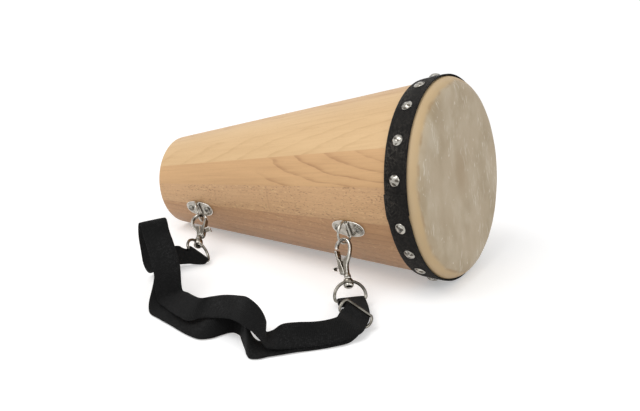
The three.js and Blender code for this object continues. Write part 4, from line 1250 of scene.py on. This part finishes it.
def makeScrew(end, number, x):
    # Shank and domed head, with a cross recess: two slots let down where |u| or |v| is small
    base = 2 * skin["fit"] + plate["thickness"]
    tip, head = base - screw["length"], screw["head"]
    shank = [(0, tip), (screw["shank"], tip + screw["tip"]), (screw["shank"], base)]
    edge = [(head - screw["chamfer"][0], base), (head, base + screw["chamfer"][1])]
    dome = arc(0, base + screw["rim"], head, screw["rise"], 0, math.pi / 2, count=22)
    rings = revolvedRings(np.vstack([shank, edge, dome]), segments=64)
    u, v = rings[..., 0], rings[..., 1]
    slots = 1 - np.minimum(*(smooth(np.abs(k), *screw["slotHalf"]) for k in (u, v)))
    hollow = slots * (1 - smooth(np.hypot(u, v), *screw["slotReach"]))
    hollow = hollow * (rings[..., 2] > base + screw["recessFrom"])
    rings[..., 2] -= screw["recess"] * hollow
    rings = inFrame(rings + vec(x, 0, 0), *plateFrame(end))
    # the recess darkened with painted shade, through the hollow mark
    marks = {"hollow": screw["tarnishAndShade"] * hollow.ravel()}
    piece = loftMesh(f"{end}Screw{number}", rings, marks=marks, merge=True, sharp=60)
    dress(piece, metalMaterials["steel"], "drum", f"{end}_screw_{number}")


def makeRing(end):
    # The D in its own plane: two rounded corners and a half circle, X across the plate and Y out
    point, axes = plateFrame(end)
    swing = math.radians(ring["swing"][end])
    half, corner = ring["width"] / 2, ring["corner"]
    low = arc(half - corner, corner, corner, corner, -math.pi / 2, 0, count=10)
    bow = arc(0, ring["reach"] - half, half, half, 0, math.pi, count=60)
    outline = np.vstack([low, bow, low[::-1] * vec(-1, 1)])
    out = axes[2] * math.cos(swing) + axes[0] * math.sin(swing)
    plane = np.array([axes[1], out, np.cross(axes[1], out)])
    piece = wireLoop(f"{end}Ring", outline, ring["wire"] / 2, point + axes[2] * ring["barHeight"], plane)
    dress(piece, metalMaterials["nickel"], f"{end}_ring", f"{end}_d_ring")


for end in ("front", "rear"):
    makePlate(end)
    makeScrew(end, 1, -plate["spacing"] / 2)
    makeScrew(end, 2, plate["spacing"] / 2)
    makeRing(end)
print("plates, screws and rings made")


hookParts = {
    "pivot": vec(-3.2, 28.8, 0),
    "pin": 0.75,  # radius
    "pinHead": 1.05,
    "pinRise": 0.2,  # of its peened ends
    "pinNeck": 0.1,
    "pinHalf": 3.5,  # from the hook's middle plane to the lug's face
    "springAt": 24.0,  # down the hook
    "spring": (-7.0, -2.6),  # from the lever to the neck
    "springRadius": 0.88,
    "springWire": 0.22,
    "springTurns": 4,
    "springPoints": 160,
    "springSquash": 0.7,  # of its length when the lever is pressed
    "collar": (35.3, 39.9),
    "boss": 4.6,
    "bossEdge": 0.9,
    "bore": 2.1,
}
castings = {  # name of its piece, its body, voxel in mm and rounds of smoothing
    "hook": ("Hook", "snap", 0.28, 9),
    "trigger": ("Lever", "lever", 0.22, 3),
}


def makeCasting(end, node):
    # the CAD piece with its edges rounded as a casting's are
    name, body, voxel, rounds = castings[node]
    piece = mergedCopy(f"{end}_{node}", end + name, voxel, rounds)
    dress(piece, metalMaterials["cast"], f"{end}_{body}", f"{end}_{node}")


def makePin(end):
    # a rod with peened ends, turned about its axis
    half = hookParts["pinHalf"]
    cap = arc(0, half, hookParts["pinHead"], hookParts["pinRise"], 0, math.pi / 2, count=6)
    upper = np.vstack([[(hookParts["pin"], half - hookParts["pinNeck"])], cap])
    rings = revolvedRings(np.vstack([upper[::-1] * vec(1, -1), upper]), segments=24) + hookParts["pivot"]
    piece = loftMesh(f"{end}Pin", inFrame(rings, hooks[end]["origin"], hooks[end]["axes"]), merge=True)
    dress(piece, metalMaterials["steel"], f"{end}_snap", f"{end}_trigger_pin")


def makeSpring(end):
    # A coil from the lever to the neck: (x, R cos a, R sin a) as x and a grow together
    origin, axes = hooks[end]["origin"], hooks[end]["axes"]
    low, high = hookParts["spring"]
    place, radius = hookParts["springAt"], hookParts["springRadius"]
    a = np.linspace(0, hookParts["springTurns"] * 2 * math.pi, hookParts["springPoints"])
    path = columns(np.linspace(low, high, len(a)), place + radius * np.cos(a), radius * np.sin(a))
    along = unit(np.gradient(path, axis=0))
    coil = circlesAlong(path, along, unit(np.cross(along, (1, 0, 0))), hookParts["springWire"], sides=10)
    piece = loftMesh(f"{end}Spring", inFrame(coil, origin, axes), caps=True)
    dress(piece, metalMaterials["steel"], f"{end}_snap", f"{end}_trigger_spring")
    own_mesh(piece)


def makeEye(end):
    # Half ellipse arch, rounded corners and the bar, all in one plane, and a bored boss on the arch
    origin, way = hooks[end]["origin"], hooks[end]["axes"][1]
    across = squareTo(hooks[end]["bar"], way)
    axes = np.array([across, way, np.cross(across, way)])
    half, corner = eye["inner"] / 2 + eye["wire"], eye["corner"]
    shoulder = eye["height"] - 2 * eye["wire"] - eye["shoulder"]
    arch = arc(0, eye["top"] + shoulder, -half, -shoulder, 0, math.pi, count=70)
    right = arc(half - corner, eye["bar"] - corner, corner, corner, 0, math.pi / 2, count=10)
    outline = np.vstack([arch, right, right[::-1] * vec(-1, 1)])
    piece = wireLoop(f"{end}Eye", outline, eye["wire"], origin, axes, sides=24)
    dress(piece, metalMaterials["chrome"], f"{end}_swivel", f"{end}_eye")
    low, high = hookParts["collar"]
    edge, bore = hookParts["bossEdge"], hookParts["bore"]
    middle, reach = (low + high) / 2, (high - low) / 2
    outside = arc(hookParts["boss"] - edge, middle, edge, reach, -math.pi / 2, math.pi / 2, count=14)
    lathe = revolvedRings(np.vstack([outside, [(bore, high), (bore, low)]]), segments=48)
    boss = inFrame(columns(lathe[..., 0], lathe[..., 2], -lathe[..., 1]), origin, axes)
    piece = loftMesh(f"{end}Boss", boss, closedRun=True, sharp=50)
    dress(piece, metalMaterials["cast"], f"{end}_swivel", f"{end}_eye")


def makeSlider():
    # Two long bars joined by rounded ends: half ellipses of the corner out and half the pitch down
    upper, lower, across = sliderLie
    down = unit(lower - upper)
    drop = slider["width"] / 2 - slider["wire"]
    half = slider["length"] / 2 - slider["wire"] - slider["corner"]
    ends = [
        arc(side * half, drop, side * slider["corner"], side * drop, -math.pi / 2, math.pi / 2, count=40)
        for side in (1, -1)
    ]
    axes = np.array([across, down, np.cross(across, down)])
    piece = wireLoop("strapSlider", np.vstack(ends), slider["wire"], upper, axes)
    dress(piece, metalMaterials["chrome"], "front_swivel", "strap_slider")


for end in ("front", "rear"):
    makeCasting(end, "hook")
    makeCasting(end, "trigger")
    makePin(end)
    makeSpring(end)
    makeEye(end)
makeSlider()
print("hooks, eyes and slider made")


studio = {
    "floor": (0.86, 0.86, 0.86, 1),
    "floorReach": 12.0,
    "floorGlow": 0.32,
    "farGlow": 0.2,  # added where the floor runs away from the lamps
    "farAt": (0.7, 2.8),
    "fill": 0.62,  # world light on the object
    "key": {"place": (-0.5, -0.9, 1.7), "size": 1.3, "power": 17.0},
    "side": {"place": (1.6, -0.5, 0.9), "size": 1.0, "power": 6.0},
    "aim": (0, 0, 0.08),
}
white = (1, 1, 1, 1)


def seenDirectly(tree):
    # 1 where the camera looks, also in a mirror or through glass, and 0 for light on the object
    kinds = ("Is Camera Ray", "Is Glossy Ray", "Is Transmission Ray")
    camera, glossy, through = (valueOf(tree, "ShaderNodeLightPath", kind) for kind in kinds)
    return camera.calc("MAXIMUM", glossy).calc("MAXIMUM", through)


def makeFloor():
    floor = bpy.data.meshes.new("floor")
    r = studio["floorReach"]
    floor.from_pydata([(-r, -r, 0), (r, -r, 0), (r, r, 0), (-r, r, 0)], [], [(0, 1, 2, 3)])
    show("floor", floor)
    material = bpy.data.materials.new("floor")
    tree = emptyTree(material)
    surface = valueOf(tree, "ShaderNodeBsdfDiffuse", 0, {"Color": studio["floor"]})
    away = lengthOf(valueOf(tree, "ShaderNodeTexCoord", "Object"))
    level = ramp(away, *studio["farAt"], studio["floorGlow"], studio["floorGlow"] + studio["farGlow"])
    light = {"Color": white, "Strength": seenDirectly(tree) * level}
    both = {0: surface, 1: valueOf(tree, "ShaderNodeEmission", 0, light)}
    put(tree, "ShaderNodeOutputMaterial", {"Surface": valueOf(tree, "ShaderNodeAddShader", 0, both)})
    floor.materials.append(material)


def makeWorld():
    world = bpy.data.worlds.new("studio")
    bpy.context.scene.world = world
    tree = emptyTree(world)
    lighting = valueOf(tree, "ShaderNodeBackground", 0, {"Color": white, "Strength": studio["fill"]})
    shown = valueOf(tree, "ShaderNodeBackground", 0, {"Color": white, "Strength": 1.0})
    mixed = valueOf(tree, "ShaderNodeMixShader", 0, {0: seenDirectly(tree), 1: lighting, 2: shown})
    put(tree, "ShaderNodeOutputWorld", {"Surface": mixed})


def makeLamp(name):
    # a square lamp whose back points away from what it is aimed at
    look = studio[name]
    data = bpy.data.lights.new(name, "AREA")
    data.energy = look["power"]
    data.size = look["size"]
    away = unit(np.subtract(look["place"], studio["aim"]))
    right = unit(np.cross((0, 0, 1), away))
    show(name, data).matrix_world = lieMatrix(right, np.cross(away, right), away, look["place"])


makeFloor()
makeWorld()
makeLamp("key")
makeLamp("side")
bpy.context.scene.view_settings.view_transform = "Standard"
print("studio set")
